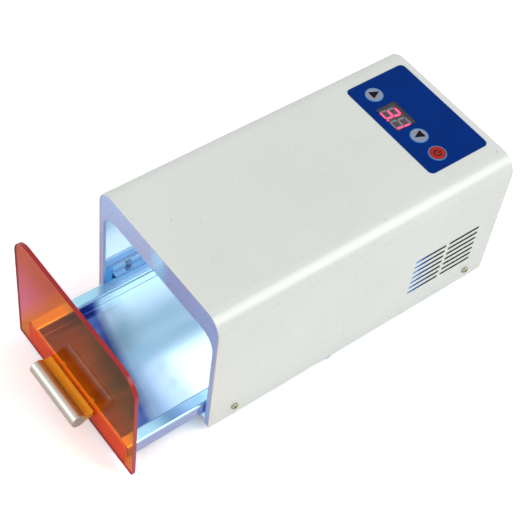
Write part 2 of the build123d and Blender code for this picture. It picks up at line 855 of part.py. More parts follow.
# ---------------------------------------------------------------- control panel
def make_overlay():
    """Stuck-on front foil with holes for the keys and the display window."""
    sheet = block(overlay_x, overlay_y, (case_h, overlay_top_z))
    sheet = fillet(sheet.edges().filter_by(Axis.Z), overlay_r)
    sheet -= window_cut(seat_gap)
    for x, y in key_places:
        sheet -= post(key_r + key_fit, x, y, (case_h - past, case_h + past))
    return sheet


def make_display_window():
    """Smoked window in the foil's and the cover's cut-out, flush with the foil."""
    window = block(window_x, window_y, (case_h - window_depth, overlay_top_z))
    return fillet(window.edges().filter_by(Axis.Z), window_r)


def make_key(place):
    """Push key: round cap through the cover, a collar under it and a stem into its switch."""
    collar_top_z = inner_h - run_gap
    collar_z = (collar_top_z - key_collar_t, collar_top_z)
    cap = post(key_r, *place, (collar_z[0], overlay_top_z + key_proud))
    cap = fillet(cap.edges().group_by(Axis.Z)[-1], key_edge_r)
    cap += post(key_collar_r, *place, collar_z)
    return cap + post(key_stem_r, *place, (board_top_z + tact_h - tact_engaged, collar_top_z))


def make_key_switches():
    """Three short-travel switches on the control board, each with a well for its key's stem."""
    top_z = board_top_z + tact_h
    switches = []
    for x, y in key_places:
        body = block(about(x, tact_w), about(y, tact_w), (board_top_z, top_z))
        switches.append(body - post(key_stem_r + shaft_gap, x, y, (top_z - tact_well, top_z + past)))
    return switches


def board_corners(x, y):
    """The four fixing places of a board, one inside each corner."""
    inset = board_hole_inset
    return [(i, j) for i in (x[0] + inset, x[1] - inset) for j in (y[0] + inset, y[1] - inset)]


def make_board(x, y, z):
    """Circuit board with a hole inside each corner."""
    board = block(x, y, z)
    for hole_x, hole_y in board_corners(x, y):
        board -= post(screw_hole_r, hole_x, hole_y, (z[0] - past, z[1] + past))
    return board


def make_control_board():
    """Control board under the cover's top."""
    return make_board(board_x, board_y, (board_top_z - board_t, board_top_z))


def make_board_standoffs():
    """Threaded spacers between the cover's top and the control board."""
    spacers = []
    for x, y in board_corners(board_x, board_y):
        spacer = post(standoff_r, x, y, (board_top_z, inner_h))
        spacers.append(spacer - post(screw_r, x, y, (board_top_z, inner_h - standoff_wall)))
    return spacers


def make_board_screws():
    """Screws from below that hold the control board."""
    length = board_t + board_drop / 2
    places = board_corners(board_x, board_y)
    return [screw_up(length, x, y, board_top_z - board_t) for x, y in places]


def make_display_module():
    """Two-digit display block on the control board."""
    span_z = (board_top_z, display_top_z)
    return block(about(display_x, display_w), about(display_y, display_d), span_z)


def bar_places():
    """Middle of each of a digit's seven bars, and whether it stands upright."""
    half_w = digit_w / 2
    half_h = digit_h / 2
    quarter = digit_h / 4
    return {
        "top": (0, half_h, False),
        "upper_right": (half_w, quarter, True),
        "lower_right": (half_w, -quarter, True),
        "bottom": (0, -half_h, False),
        "lower_left": (-half_w, -quarter, True),
        "upper_left": (-half_w, quarter, True),
        "middle": (0, 0, False),
    }


def digit_bars(side, names):
    """Named bars of one digit, pointed at both ends and leaning with the digit."""
    half_w = bar_w / 2
    bars = []
    for name in names:
        x, y, upright = bar_places()[name]
        tip = (digit_h / 2 if upright else digit_w) / 2 - bar_gap
        flat = tip - half_w
        upper = [(-tip, 0), (-flat, half_w), (flat, half_w)]
        outline = upper + [(-a, -b) for a, b in upper]
        turn = 90 - digit_slant if upright else 0
        place = Pos(display_x + side * digit_pitch / 2 + x + y * slant_run, display_y + y, display_top_z)
        face = place * Rot(0, 0, turn) * make_face(Polyline(*outline, close=True))
        bars.append(extrude(face, amount=bar_proud))
    return bars


def digit_dot(side):
    """Round point at a digit's lower right."""
    lean = digit_h / 2 * slant_run
    x = display_x + side * digit_pitch / 2 + digit_w / 2 + bar_w - lean
    return post(dot_r, x, display_y - digit_h / 2, (display_top_z, display_top_z + bar_proud))


def make_lit_bars():
    """The bars that show the time: a three, its point and a one."""
    return digit_bars(-1, left_lit) + digit_bars(1, right_lit) + [digit_dot(-1)]


def make_dark_bars():
    """The bars that are off."""
    return digit_bars(-1, left_dark) + digit_bars(1, right_dark)


# ---------------------------------------------------------------- power board
def on_board(radius, x, y, height):
    """Upright cylinder on the power board."""
    return post(radius, x, y, (power_top_z, power_top_z + height))


def make_power_board():
    """Lamp driver board on the base pan."""
    return make_board(power_x, power_y, (power_low_z, power_top_z))


def make_power_standoffs():
    """Threaded spacers between the pan and the power board."""
    spacers = []
    for x, y in board_corners(power_x, power_y):
        spacer = post(standoff_r, x, y, (pan_t, power_low_z))
        spacers.append(spacer - post(screw_r, x, y, (pan_t + standoff_wall, power_low_z)))
    return spacers


def make_power_screws():
    """Screws that hold the power board on its spacers."""
    length = power_t + (power_low_z - pan_t) / 2
    places = board_corners(power_x, power_y)
    return [Pos(x, y, power_top_z) * pan_screw(length) for x, y in places]


def make_transformer():
    """Small mains transformer: laminated core with its winding through it."""
    core_z = (power_top_z, power_top_z + core_h)
    coil_z = about(power_top_z + core_h / 2, coil_h)
    core = block(about(transformer_x, core_w), about(power_mid_y, core_d), core_z)
    coil = block(about(transformer_x, coil_w), about(power_mid_y, coil_d), coil_z)
    return core + fillet(coil.edges().filter_by(Axis.Y), coil_edge_r)


def make_chokes():
    """One choke for each lamp, in a row."""
    waist_z = about(power_top_z + choke_h / 2, choke_h / 2)
    chokes = []
    for i in range(lamp_count):
        y = power_mid_y + (i - (lamp_count - 1) / 2) * choke_pitch
        choke = on_board(choke_r, choke_x, y, choke_h)
        waist = post(choke_r, choke_x, y, waist_z) - post(choke_waist_r, choke_x, y, waist_z)
        chokes.append(choke - waist)
    return chokes


def make_capacitors():
    """Two upright capacitors."""
    cans = []
    for i in range(capacitor_count):
        y = power_y[0] + capacitor_setback + i * capacitor_pitch
        can = on_board(capacitor_r, capacitor_x, y, capacitor_h)
        cans.append(fillet(can.edges().group_by(Axis.Z)[-1], capacitor_edge_r))
    return cans


def make_relay():
    """Relay that switches the lamps."""
    y = (power_y[1] - relay_inset - relay_d, power_y[1] - relay_inset)
    return block(about(capacitor_x, relay_w), y, (power_top_z, power_top_z + relay_h))


def make_terminal_block():
    """Mains terminal block on the pan, with a row of wire wells."""
    top_z = pan_t + terminal_h
    body = block(about(terminal_x, terminal_w), terminal_y, (pan_t, top_z))
    pitch = terminal_d / terminal_ways
    for i in range(terminal_ways):
        y = terminal_y[0] + (i + 0.5) * pitch
        body -= post(terminal_well_r, terminal_x, y, (top_z - terminal_h / 2, top_z + past))
    return body


# ---------------------------------------------------------------- fan
def to_fan(solid):
    """Move a fan piece, drawn with its axis up and its front at z = 0, to its place."""
    return Pos(fan_x, fan_front_y, fan_z) * Rot(-90, 0, 0) * solid


def make_fan_frame():
    """Square fan frame with a round duct, a stator plate on struts and a bearing bore."""
    body = Box(fan_w, fan_w, fan_d, align=LOW)
    body = fillet(body.edges().filter_by(Axis.Z), fan_corner_r)
    body -= Cylinder(fan_r, 4 * fan_d)
    stator = Cylinder(fan_stator_r, fan_stator_t, align=LOW)
    strut_align = (Align.MIN, Align.CENTER, Align.MIN)
    strut = Box(fan_r + fan_strut_w / 2, fan_strut_w, fan_stator_t, align=strut_align)
    for i in range(fan_strut_count):
        stator += Rot(0, 0, (i + 0.5) * 360 / fan_strut_count) * strut
    body += Pos(0, 0, fan_d - fan_stator_t) * stator
    body -= Cylinder(fan_shaft_r + shaft_gap, 4 * fan_d)
    for i in SIDES:
        for j in SIDES:
            body -= Pos(i * fan_half, j * fan_half, 0) * Cylinder(fan_screw_r, 4 * fan_d)
    return to_fan(body)


def make_fan_rotor():
    """Fan rotor: a hub cup on a short shaft, with pitched blades."""
    hub = Cylinder(fan_hub_r, fan_hub_h, align=LOW)
    hub = fillet(hub.edges().group_by(Axis.Z)[0], fan_hub_edge_r)
    ring = Cylinder(fan_r - fan_tip_gap, fan_hub_h, align=LOW)
    ring -= Cylinder(fan_hub_r - fan_hub_edge_r, 3 * fan_hub_h)
    blade = Box(fan_r, blade_chord, blade_t, align=(Align.MIN, Align.CENTER, Align.CENTER))
    blade = Pos(0, 0, fan_hub_h / 2) * Rot(blade_pitch, 0, 0) * blade
    blade = blade & ring
    for i in range(blade_count):
        hub += Rot(0, 0, i * 360 / blade_count) * blade
    hub += Pos(0, 0, fan_hub_h) * Cylinder(fan_shaft_r, fan_shaft_l + run_gap, align=LOW)
    return to_fan(Pos(0, 0, fan_d - fan_stator_t - run_gap - fan_hub_h) * hub)


def make_fan_guard():
    """Wire finger guard behind the rear panel: faceted rings, two cross wires and four eyes."""
    wire = guard_wire_r
    reach = math.hypot(fan_half, fan_half)
    bar_l = 2 * reach - guard_eye_r - fan_hole_r
    guard = Rot(0, 0, 45) * Rot(0, 90, 0) * Cylinder(wire, bar_l)
    guard += Rot(0, 0, 135) * Rot(0, 90, 0) * Cylinder(wire, bar_l)
    for i in SIDES:
        for j in SIDES:
            eye = Cylinder(guard_eye_r, guard_depth) - Cylinder(fan_hole_r, 4 * guard_depth)
            guard += Pos(i * fan_half, j * fan_half, 0) * eye
    for radius in guard_rings:
        section = Plane.XZ * Pos(radius, wire) * RegularPolygon(wire, guard_facets)
        guard += revolve(section, Axis.Z)
    return to_fan(Pos(0, 0, fitting_y - fan_front_y + guard_depth / 2) * guard)


def make_fan_screws():
    """Four screws through the guard's eyes and the rear panel into the fan frame."""
    seat_y = fitting_y + guard_depth
    length = seat_y - rear_y + fan_screw_l
    return [screw_forward(length, x, seat_y, z, fan_screw_r) for x, z in fan_hole_xz]


# ---------------------------------------------------------------- mains fittings
def make_power_inlet():
    """Flanged mains inlet: a shell with an open well whose two lower corners are bevelled."""
    inlet = rear_block(inlet_flange_w, inlet_flange_h, inlet_x, inlet_z, (fitting_y, inlet_back_y))
    inlet = fillet(inlet.edges().filter_by(Axis.Y), inlet_flange_r)
    body_y = (fitting_y - inlet_body_l, fitting_y)
    inlet += rear_block(inlet_body_w, inlet_body_h, inlet_x, inlet_z, body_y)
    well_y = (inlet_back_y - inlet_well_l, inlet_back_y + past)
    well = rear_block(inlet_well_w, inlet_well_h, inlet_x, inlet_z, well_y)
    well = chamfer(well.edges().filter_by(Axis.Y).group_by(Axis.Z)[0], inlet_well_bevel)
    inlet -= well
    for x in inlet_screw_places:
        inlet -= rod(screw_hole_r, (fitting_y - past, inlet_back_y + past), x, inlet_z)
    return inlet


def make_inlet_pins():
    """Three flat contact pins that stand in the inlet's well."""
    floor_y = inlet_back_y - inlet_well_l
    half = blade_pin_spread / 2
    places = [(-half, -live_pin_drop), (half, -live_pin_drop), (0, earth_pin_rise)]
    pins = []
    for x, z in places:
        span_y = (floor_y, floor_y + blade_pin_l)
        pins.append(rear_block(blade_pin_w, blade_pin_h, inlet_x + x, inlet_z + z, span_y))
    return pins


def make_inlet_screws():
    """Two screws that hold the inlet's flange to the rear panel."""
    length = inlet_flange_t + seat_gap + rear_t + inlet_screw_tip
    return [screw_forward(length, x, inlet_back_y, inlet_z) for x in inlet_screw_places]


def make_switch_body():
    """Mains switch housing: a flange, a body through the rear panel and a well for the rocker."""
    body = rear_block(switch_w, switch_h, switch_x, switch_z, (fitting_y, switch_back_y))
    body = fillet(body.edges().filter_by(Axis.Y), switch_edge_r)
    body_y = (fitting_y - switch_body_l, fitting_y)
    body += rear_block(switch_body_w, switch_body_h, switch_x, switch_z, body_y)
    well_r = rocker_r + run_gap
    well_w = rocker_w + 2 * run_gap
    body -= Pos(switch_x, rocker_y, switch_z) * Rot(0, 90, 0) * Cylinder(well_r, well_w)
    body -= rear_block(well_w, 2 * well_r, switch_x, switch_z, (rocker_y, switch_back_y + past))
    return body


def make_switch_rocker():
    """Rocker: a round drum whose outer side is two flats that meet over its pivot."""
    drum = Rot(0, 90, 0) * Cylinder(rocker_r, rocker_w)
    cut_align = (Align.CENTER, Align.MIN, Align.CENTER)
    cutter = Box(2 * rocker_w, 2 * rocker_r, 4 * rocker_r, align=cut_align)
    for side in SIDES:
        place = Pos(0, rocker_sink + rocker_crown, side * 2 * rocker_r)
        drum -= Rot(side * rocker_tilt, 0, 0) * place * cutter
    return Pos(switch_x, rocker_y, switch_z) * Rot(rocker_tilt, 0, 0) * drum


def make_fuse_holder():
    """Fuse holder: a flanged tube through the rear panel, closed at its inner end."""
    mouth_y = fitting_y + fuse_flange_t
    holder = rod(fuse_flange_r, (fitting_y, mouth_y), fuse_x, fuse_z)
    holder += rod(fuse_body_r, (fitting_y - fuse_body_l, fitting_y), fuse_x, fuse_z)
    bore_y = (mouth_y - fuse_plug_l - run_gap, mouth_y + past)
    return holder - rod(fuse_plug_r + shaft_gap, bore_y, fuse_x, fuse_z)


def make_fuse_cap():
    """Fuse cap: a plug in the holder's bore under a round cap with a driver slot."""
    seat_y = fitting_y + fuse_flange_t + seat_gap
    end_y = seat_y + fuse_cap_l
    cap = rod(fuse_cap_r, (seat_y, end_y), fuse_x, fuse_z)
    cap = fillet(cap.edges().group_by(Axis.Y)[-1], fuse_cap_edge_r)
    slot_y = (end_y - fuse_slot_d, end_y + past)
    cap -= rear_block(4 * fuse_cap_r, fuse_slot_w, fuse_x, fuse_z, slot_y)
    return cap + rod(fuse_plug_r, (seat_y - fuse_plug_l, seat_y), fuse_x, fuse_z)


# ---------------------------------------------------------------- build
save("cover", make_cover())
save("front_frame", make_front_frame())
save("base_pan", make_base_pan())
save("rear_panel", make_rear_panel())
save("foot_nuts", *make_foot_nuts())
save("cover_screws", *make_cover_screws())
save("base_screws", *make_base_screws())
save("feet", *make_feet())
save("foot_screws", *make_foot_screws())

save("tray", make_tray())
save("tray_front", make_tray_front())
save("door", make_door())
save("handle", make_handle())
save("handle_screws", *make_handle_screws())
rail_right, rail_left = both_sides(make_rail())
save("rail_right", rail_right)
save("rail_left", rail_left)
save("rail_rivets", *make_rail_rivets())

save("liner", make_liner())
save("bulkhead", make_bulkhead())
for index, lamp_x in enumerate(lamp_x_places, start=1):
    save(f"lamp_tube_{index}", make_lamp_tube(lamp_x))
    save(f"lamp_base_{index}", make_lamp_base(lamp_x))
save("lamp_sockets", *make_lamp_sockets())
save("socket_screws", *make_socket_screws())
save("lamp_clips", *make_lamp_clips())

save("panel_overlay", make_overlay())
save("display_window", make_display_window())
save("key_up", make_key(key_up_xy))
save("key_down", make_key(key_down_xy))
save("key_start", make_key(key_start_xy))
save("key_switches", *make_key_switches())
save("control_board", make_control_board())
save("board_standoffs", *make_board_standoffs())
save("board_screws", *make_board_screws())
save("display_module", make_display_module())
save("display_bars_lit", *make_lit_bars())
save("display_bars_dark", *make_dark_bars())

save("power_board", make_power_board())
save("power_standoffs", *make_power_standoffs())
save("power_screws", *make_power_screws())
save("transformer", make_transformer())
save("ballast_chokes", *make_chokes())
save("capacitors", *make_capacitors())
save("relay", make_relay())
save("terminal_block", make_terminal_block())

save("fan_frame", make_fan_frame())
save("fan_rotor", make_fan_rotor())
save("fan_guard", make_fan_guard())
save("fan_screws", *make_fan_screws())
save("power_inlet", make_power_inlet())
save("inlet_pins", *make_inlet_pins())
save("inlet_screws", *make_inlet_screws())
save("switch_body", make_switch_body())
save("switch_rocker", make_switch_rocker())
save("fuse_holder", make_fuse_holder())
save("fuse_cap", make_fuse_cap())
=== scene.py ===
import json
import math

import bmesh
import bpy
import numpy as np
from bpy.props import FloatProperty, FloatVectorProperty, IntProperty, PointerProperty
from mathutils import Matrix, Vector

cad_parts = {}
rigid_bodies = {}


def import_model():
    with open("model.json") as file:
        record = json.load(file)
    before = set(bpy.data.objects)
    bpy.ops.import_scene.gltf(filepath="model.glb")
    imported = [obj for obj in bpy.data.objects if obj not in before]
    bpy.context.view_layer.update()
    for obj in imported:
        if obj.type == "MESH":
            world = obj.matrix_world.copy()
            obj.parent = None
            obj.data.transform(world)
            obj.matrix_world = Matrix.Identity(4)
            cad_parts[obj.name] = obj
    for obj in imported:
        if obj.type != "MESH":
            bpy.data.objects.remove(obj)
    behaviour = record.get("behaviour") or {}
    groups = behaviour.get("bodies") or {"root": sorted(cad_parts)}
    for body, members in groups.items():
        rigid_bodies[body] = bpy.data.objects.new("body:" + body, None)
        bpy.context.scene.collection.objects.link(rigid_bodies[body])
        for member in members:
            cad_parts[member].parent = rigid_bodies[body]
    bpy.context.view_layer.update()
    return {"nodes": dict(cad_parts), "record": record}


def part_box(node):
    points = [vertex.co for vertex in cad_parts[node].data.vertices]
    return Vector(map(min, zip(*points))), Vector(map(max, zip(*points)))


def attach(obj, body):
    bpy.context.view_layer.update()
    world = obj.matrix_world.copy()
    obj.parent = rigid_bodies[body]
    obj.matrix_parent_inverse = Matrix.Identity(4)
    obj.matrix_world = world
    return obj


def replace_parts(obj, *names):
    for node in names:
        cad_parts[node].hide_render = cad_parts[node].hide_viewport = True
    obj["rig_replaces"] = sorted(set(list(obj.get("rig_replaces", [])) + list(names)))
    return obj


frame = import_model()

bl_info = {
    "name": "Light curing unit",
    "version": (1, 0, 0),
    "blender": (4, 5, 0),
    "location": "3D View > Sidebar > Curing unit",
    "description": "Finished pieces and studio of a bench-top light curing unit with a drawer",
    "category": "Object",
}

RECORD = frame["record"]
RECORD_COLOURS = {material["slot"]: material["base_color"][:3] for material in RECORD["materials"]}
NODE_SLOTS = {part["node"]: part["material_slot"] for part in RECORD["subparts"]}
NODE_BODIES = {node: body for body, nodes in RECORD["behaviour"]["bodies"].items() for node in nodes}
KEYS = ("key_up", "key_down", "key_start")
FULL_TURN = 2 * math.pi
QUARTER = math.pi / 2
BLACK = (0.0, 0.0, 0.0)
WHITE = (1.0, 1.0, 1.0)


# ---- Sizes and colours
def length(name, description, default):
    """A length property in metres."""
    return FloatProperty(
        name=name, description=description, default=default, min=0.0, precision=5, subtype="DISTANCE"
    )


def colour(name, description, default):
    """A display colour property."""
    return FloatVectorProperty(
        name=name, description=description, default=default, min=0.0, max=1.0, subtype="COLOR_GAMMA"
    )


class CuringCase(bpy.types.PropertyGroup):
    """Sizes of the cover."""

    corner: length("Corner radius", "Outer radius of the long upper corners", 0.015)
    sheet: length("Sheet", "Thickness of the sheet", 0.0012)
    rim: length("Rim rounding", "Rounding of the sheet's cut edges", 0.00025)
    slot_rows: IntProperty(name="Slot rows", description="Air slots above each other in one block", default=7, min=1)
    slot_pitch: length("Slot pitch", "Height from one air slot to the next", 0.00605)
    slot_low: length("Lowest slot", "Height of the lowest slot's middle above the lower edge", 0.0256)
    slot_length: length("Slot length", "Overall length of an air slot", 0.030)
    slot_height: length("Slot height", "Width of an air slot", 0.0025)
    slot_front: length("Front block", "From the rear edge to the middle of the front block", 0.0673)
    slot_rear: length("Rear block", "From the rear edge to the middle of the rear block", 0.0345)
    screw_hole: length("Screw hole", "Radius of the screw holes", 0.0017)
    screw_front: length("Front screw", "From the front edge to the front screw", 0.0215)
    screw_rear: length("Rear screw", "From the rear edge to the rear screw", 0.0198)
    screw_height: length("Screw height", "Height of the screws above the lower edge", 0.0105)


class CuringDrawer(bpy.types.PropertyGroup):
    """Sizes of the tray, the door and the handle."""

    sheet: length("Tray sheet", "Thickness of the tray's sheet", 0.001)
    bend: length("Bend radius", "Middle radius of the tray's folds", 0.0016)
    flange: length("Flange", "Width of the tray's side flanges", 0.0104)
    floor_height: length("Floor height", "From the lips' lower edge to the tray's floor", 0.0015)
    ear: length("Ear", "How far the stop ears stand out", 0.0019)
    ear_length: length("Ear length", "Length of the stop ears", 0.008)
    ear_height: length("Ear height", "Height of the stop ears", 0.006)
    plate_corner: length("Plate corner", "Radius of the front plate's upper corners", 0.005)
    door_corner: length("Door corner", "Radius of the door's upper corners", 0.0175)
    door_low_corner: length("Door low corner", "Radius of the door's lower corners", 0.002)
    door_edge: length("Door edge", "Rounding of the door's edges", 0.0004)
    neck: length("Handle neck", "Thickness of the handle's neck", 0.0056)
    blend: length("Handle blend", "Radius of the hollow between nose and neck", 0.0100)
    handle_edge: length("Handle edge", "Rounding of the handle's ends", 0.0006)


class CuringPanel(bpy.types.PropertyGroup):
    """Sizes of the keys, their marks and the front foil."""

    key_radius: length("Key radius", "Radius of a key's cap", 0.007)
    key_edge: length("Key edge", "Rounding of a key's upper edge", 0.0003)
    key_ring: length("Key ring", "Width of the coloured ring on a key", 0.0007)
    key_gap: length("Key gap", "Gap between a key and the cover", 0.0003)
    foil_gap: length("Foil gap", "Gap between a key and the foil", 0.00015)
    foil_corner: length("Foil corner", "Radius of the foil's corners", 0.004)
    foil_edge: length("Foil edge", "Rounding of the foil's upper edge", 0.00015)
    window_corner: length("Window corner", "Radius of the window's corners", 0.0008)
    window_gap: length("Window gap", "Gap round the display window", 0.0001)
    mark_width: length("Mark width", "Width of a key's triangle mark", 0.0074)
    mark_height: length("Mark height", "Height of a key's triangle mark", 0.0079)
    mark_relief: length("Mark relief", "How far a mark stands out of its key", 0.00005)


class CuringColours(bpy.types.PropertyGroup):
    """Colours that show most."""

    cover: colour("Cover", "Powder paint of the cover", (0.89, 0.905, 0.88))
    # The front frame's periwinkle tone is partly painted light: the lamps' blue light on the paint.
    front: colour("Front frame", "Paint of the front frame", (0.61, 0.76, 1.0))
    # The tray's and the flanges' pale blue tones are partly painted light: the lamps' blue light in the sheet's
    # colour.
    tray: colour("Tray", "Polished sheet of the tray", (0.80, 0.90, 0.935))
    flange: colour("Tray flange", "Ground sheet of the tray's flanges", (0.65, 0.86, 0.95))
    liner: colour("Liner", "Mirror sheet of the chamber", (0.83, 0.86, 0.885))
    handle: colour("Handle", "Drawn bar of the handle", (0.75, 0.735, 0.695))
    foil: colour("Foil", "Front foil round the keys", (0.0, 0.185, 0.50))
    key: colour("Key", "Middle of the two setting keys", (0.57, 0.60, 0.68))
    ring: colour("Key ring", "Ring round every key", (0.27, 0.55, 0.80))
    start: colour("Start key", "Middle of the start key", (0.66, 0.12, 0.09))
    mark: colour("Mark", "Symbols on the keys", (0.01, 0.01, 0.015))
    lit: colour("Lit bars", "Bars of the display that are on", (1.0, 0.22, 0.42))
    lamp: colour("Lamp light", "Light of the lamps", (0.98, 0.97, 1.0))


# ---- Mesh helpers
def shell(rings, hollow=False):
    """Closed surface through a stack of closed rings (ring, point, xyz): quads between neighbours, and a cap on both
    end rings, or these two joined where it is hollow."""
    count, points, _ = rings.shape
    ring = np.arange(count if hollow else count - 1)[:, None]
    point = np.arange(points)[None, :]
    start, end, after = ring * points, (ring + 1) % count * points, (point + 1) % points
    faces = np.stack((start + point, start + after, end + after, end + point), -1).reshape(-1, 4).tolist()
    if not hollow:
        faces += [list(range(points))[::-1], list(range((count - 1) * points, count * points))]
    return rings.reshape(-1, 3), faces


def stacked(flat, places, axis):
    """Closed surface through flat rings, each at its place along the axis across them."""
    across = np.broadcast_to(np.array(places)[:, None, None], flat.shape[:2] + (1,))
    return shell(np.concatenate([flat[..., :axis], across, flat[..., axis:]], -1))


def bar_between(outline, axis, low, high):
    """Straight bar: the closed outline at two places along the axis."""
    return stacked(np.broadcast_to(outline, (2,) + outline.shape), (low, high), axis)


def slab(rounded, near, far, edge, axis=1, steps=3):
    """Flat plate across the axis: the outline, drawn in along its normals by the edge radius times one minus the sine
    of an angle, runs from one face round both rounded edges to the other face."""
    outline, normals = rounded
    turn = np.linspace(0, QUARTER, steps + 1)
    inset = edge * (1 - np.sin(turn))
    run = edge * (1 - np.cos(turn))
    insets = np.concatenate([inset, inset[::-1]])
    places = np.concatenate([near + run, far - run[::-1]])
    return stacked(outline[None] - normals[None] * insets[:, None, None], places, axis)


def turned(profile, centre, axis=2, steps=48, hollow=False):
    """Surface of revolution: the profile's radius and height carried round the axis in equal steps."""
    profile = np.array(profile, float)
    angle = np.arange(steps) * FULL_TURN / steps
    flat = profile[:, None, :1] * np.stack([np.cos(angle), np.sin(angle)], -1)
    rise = np.broadcast_to(profile[:, None, 1:], flat.shape[:2] + (1,))
    order = ([2, 0, 1], [1, 2, 0], [0, 1, 2])[axis]
    return shell(np.concatenate([flat, rise], -1)[..., order] + np.array(centre, float), hollow)


def arc(centre, radius, start, end, steps):
    """Points on a circle: centre plus radius times cosine and sine of angles from start to end, in degrees."""
    angle = np.radians(np.linspace(start, end, steps + 1))
    return np.array(centre, float) + radius * np.stack([np.cos(angle), np.sin(angle)], -1)


def corners_of(low, high):
    """The four corners of a rectangle between two points, counter-clockwise from its lower right."""
    return [(high[0], low[1]), (high[0], high[1]), (low[0], high[1]), (low[0], low[1])]


def corner_sides(corners):
    """Directions from each corner to the one before it and the one after it."""
    sides = [np.roll(corners, shift, 0) - corners for shift in (1, -1)]
    return [side / np.linalg.norm(side, axis=1)[:, None] for side in sides]


def rounded_outline(corners, radii, steps=12):
    """Closed outline through the corners, each replaced by an arc of its radius that touches both sides: points,
    and normals that look away from the arcs' centres."""
    corners = np.array(corners, float)
    radii = np.broadcast_to(np.array(radii, float), len(corners))
    before, after = corner_sides(corners)
    half = np.arccos(np.clip((before * after).sum(1), -1, 1)) / 2
    middle = before + after
    middle /= np.linalg.norm(middle, axis=1)[:, None]
    centre = corners + middle * (radii / np.sin(half))[:, None]
    turn = np.linspace(-1, 1, steps + 1)[None, :] * (QUARTER - half)[:, None]
    side = np.sign(before[:, 0] * after[:, 1] - before[:, 1] * after[:, 0])
    heading = np.arctan2(-middle[:, 1], -middle[:, 0])[:, None] - turn * side[:, None]
    normals = np.stack([np.cos(heading), np.sin(heading)], -1)
    points = centre[:, None, :] + radii[:, None, None] * normals
    return points.reshape(-1, 2), normals.reshape(-1, 2)


def folded_line(corners, radius, steps):
    """Open line through the corners with an arc of the radius in each inner corner: points and side normals."""
    rounded = rounded_outline(corners, radius, steps)
    points, normals = (part.reshape(len(corners), steps + 1, 2)[1:-1] for part in rounded)
    corners = np.array(corners, float)
    before, after = (side[1:-1] for side in corner_sides(corners))
    side = np.sign(before[:, 1] * after[:, 0] - before[:, 0] * after[:, 1])
    normals = (normals * side[:, None, None]).reshape(-1, 2)
    points = np.vstack([corners[:1], points.reshape(-1, 2), corners[-1:]])
    return points, np.vstack([normals[:1], normals, normals[-1:]])


def add_object(name, data):
    """A new object at the origin that holds this data."""
    thing = bpy.data.objects.new(name, data)
    bpy.context.scene.collection.objects.link(thing)
    return thing


def make_object(name, shells):
    """One object from several closed surfaces, their doubles merged and their faces turned outwards."""
    points, faces, start = [], [], 0
    for part_points, part_faces in shells:
        points.append(part_points)
        faces += [[start + index for index in face] for face in part_faces]
        start += len(part_points)
    mesh = bpy.data.meshes.new(name)
    mesh.from_pydata(np.vstack(points).tolist(), [], faces)
    return add_object(name, clean_mesh(mesh))


def clean_mesh(mesh, merge=1e-7, flatten=False):
    """Merge doubles, drop what has no area, or else what doesn't bend, and turn the faces outwards."""
    edit = bmesh.new()
    edit.from_mesh(mesh)
    bmesh.ops.remove_doubles(edit, verts=edit.verts, dist=merge)
    if flatten:
        bmesh.ops.dissolve_limit(edit, angle_limit=math.radians(0.5), verts=edit.verts, edges=edit.edges)
    else:
        bmesh.ops.dissolve_degenerate(edit, edges=edit.edges, dist=1e-8)
    bmesh.ops.recalc_face_normals(edit, faces=edit.faces)
    edit.to_mesh(mesh)
    edit.free()
    return mesh


def modify(piece, kind, **values):
    """Work a modifier with these settings into the piece's mesh."""
    modifier = piece.modifiers.new(kind.lower(), kind)
    for name, value in values.items():
        setattr(modifier, name, value)
    mesh = bpy.data.meshes.new_from_object(piece.evaluated_get(bpy.context.evaluated_depsgraph_get()))
    piece.modifiers.clear()
    piece.data = mesh
    return piece


def soften(piece, width=0.0, angle=40.0):
    """Round the edges that turn by more than the angle, and let flat faces stay flat in the light."""
    if width > 0:
        limit = {"limit_method": "ANGLE", "angle_limit": math.radians(angle)}
        modify(piece, "BEVEL", width=width, segments=2, **limit, use_clamp_overlap=True, miter_outer="MITER_ARC")
    piece.data.shade_smooth()
    piece.data.set_sharp_from_angle(angle=math.radians(50))
    return modify(piece, "WEIGHTED_NORMAL", keep_sharp=True, weight=80)


def cut(piece, shells):
    """Take closed surfaces out of the piece."""
    cutter = make_object("cutter", shells)
    modify(piece, "BOOLEAN", operation="DIFFERENCE", solver="EXACT", object=cutter)
    bpy.data.objects.remove(cutter)


def install(piece, node, surface=None, stands=True):
    """Give the piece the body and the slot of a node, and the slot's finish or its own. It stands for the node."""
    slot = NODE_SLOTS[node]
    piece.data.materials.clear()
    piece.data.materials.append(surface or finish_for(slot))
    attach(piece, NODE_BODIES[node])
    if stands:
        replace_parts(piece, node)
    return piece


def values_of(items, name, width=3, kind=float):
    """One row of values for each vertex, corner or face of a mesh."""
    values = np.zeros(len(items) * width, kind)
    items.foreach_get(name, values)
    return values.reshape(-1, width)


def mark_rim(sheet, axis, surface, low=(-1.0, -1.0, -1.0), high=(1.0, 1.0, 1.0)):
    """The narrow faces across a flat sheet get a finish of their own: those inside the box that don't look along
    the axis."""
    sheet.data.materials.append(surface)
    faces = sheet.data.polygons
    middle = values_of(faces, "center")
    rim = np.abs(values_of(faces, "normal")[:, axis]) < 0.9
    rim &= ((middle > low) & (middle < high)).all(1)
    faces.foreach_set("material_index", rim.astype(np.int32))


# ---- Materials
def linear(display):
    """The display colour as scene-linear red, green and blue."""
    values = np.array(display[:3], float)
    return tuple(np.where(values <= 0.04045, values / 12.92, ((values + 0.055) / 1.055) ** 2.4).tolist())


def scaled(base, factor, extra=0.0):
    """The colour times a factor, or a factor for each channel, plus a little, and at most one."""
    return tuple(np.minimum(np.array(base) * factor + extra, 1).tolist())


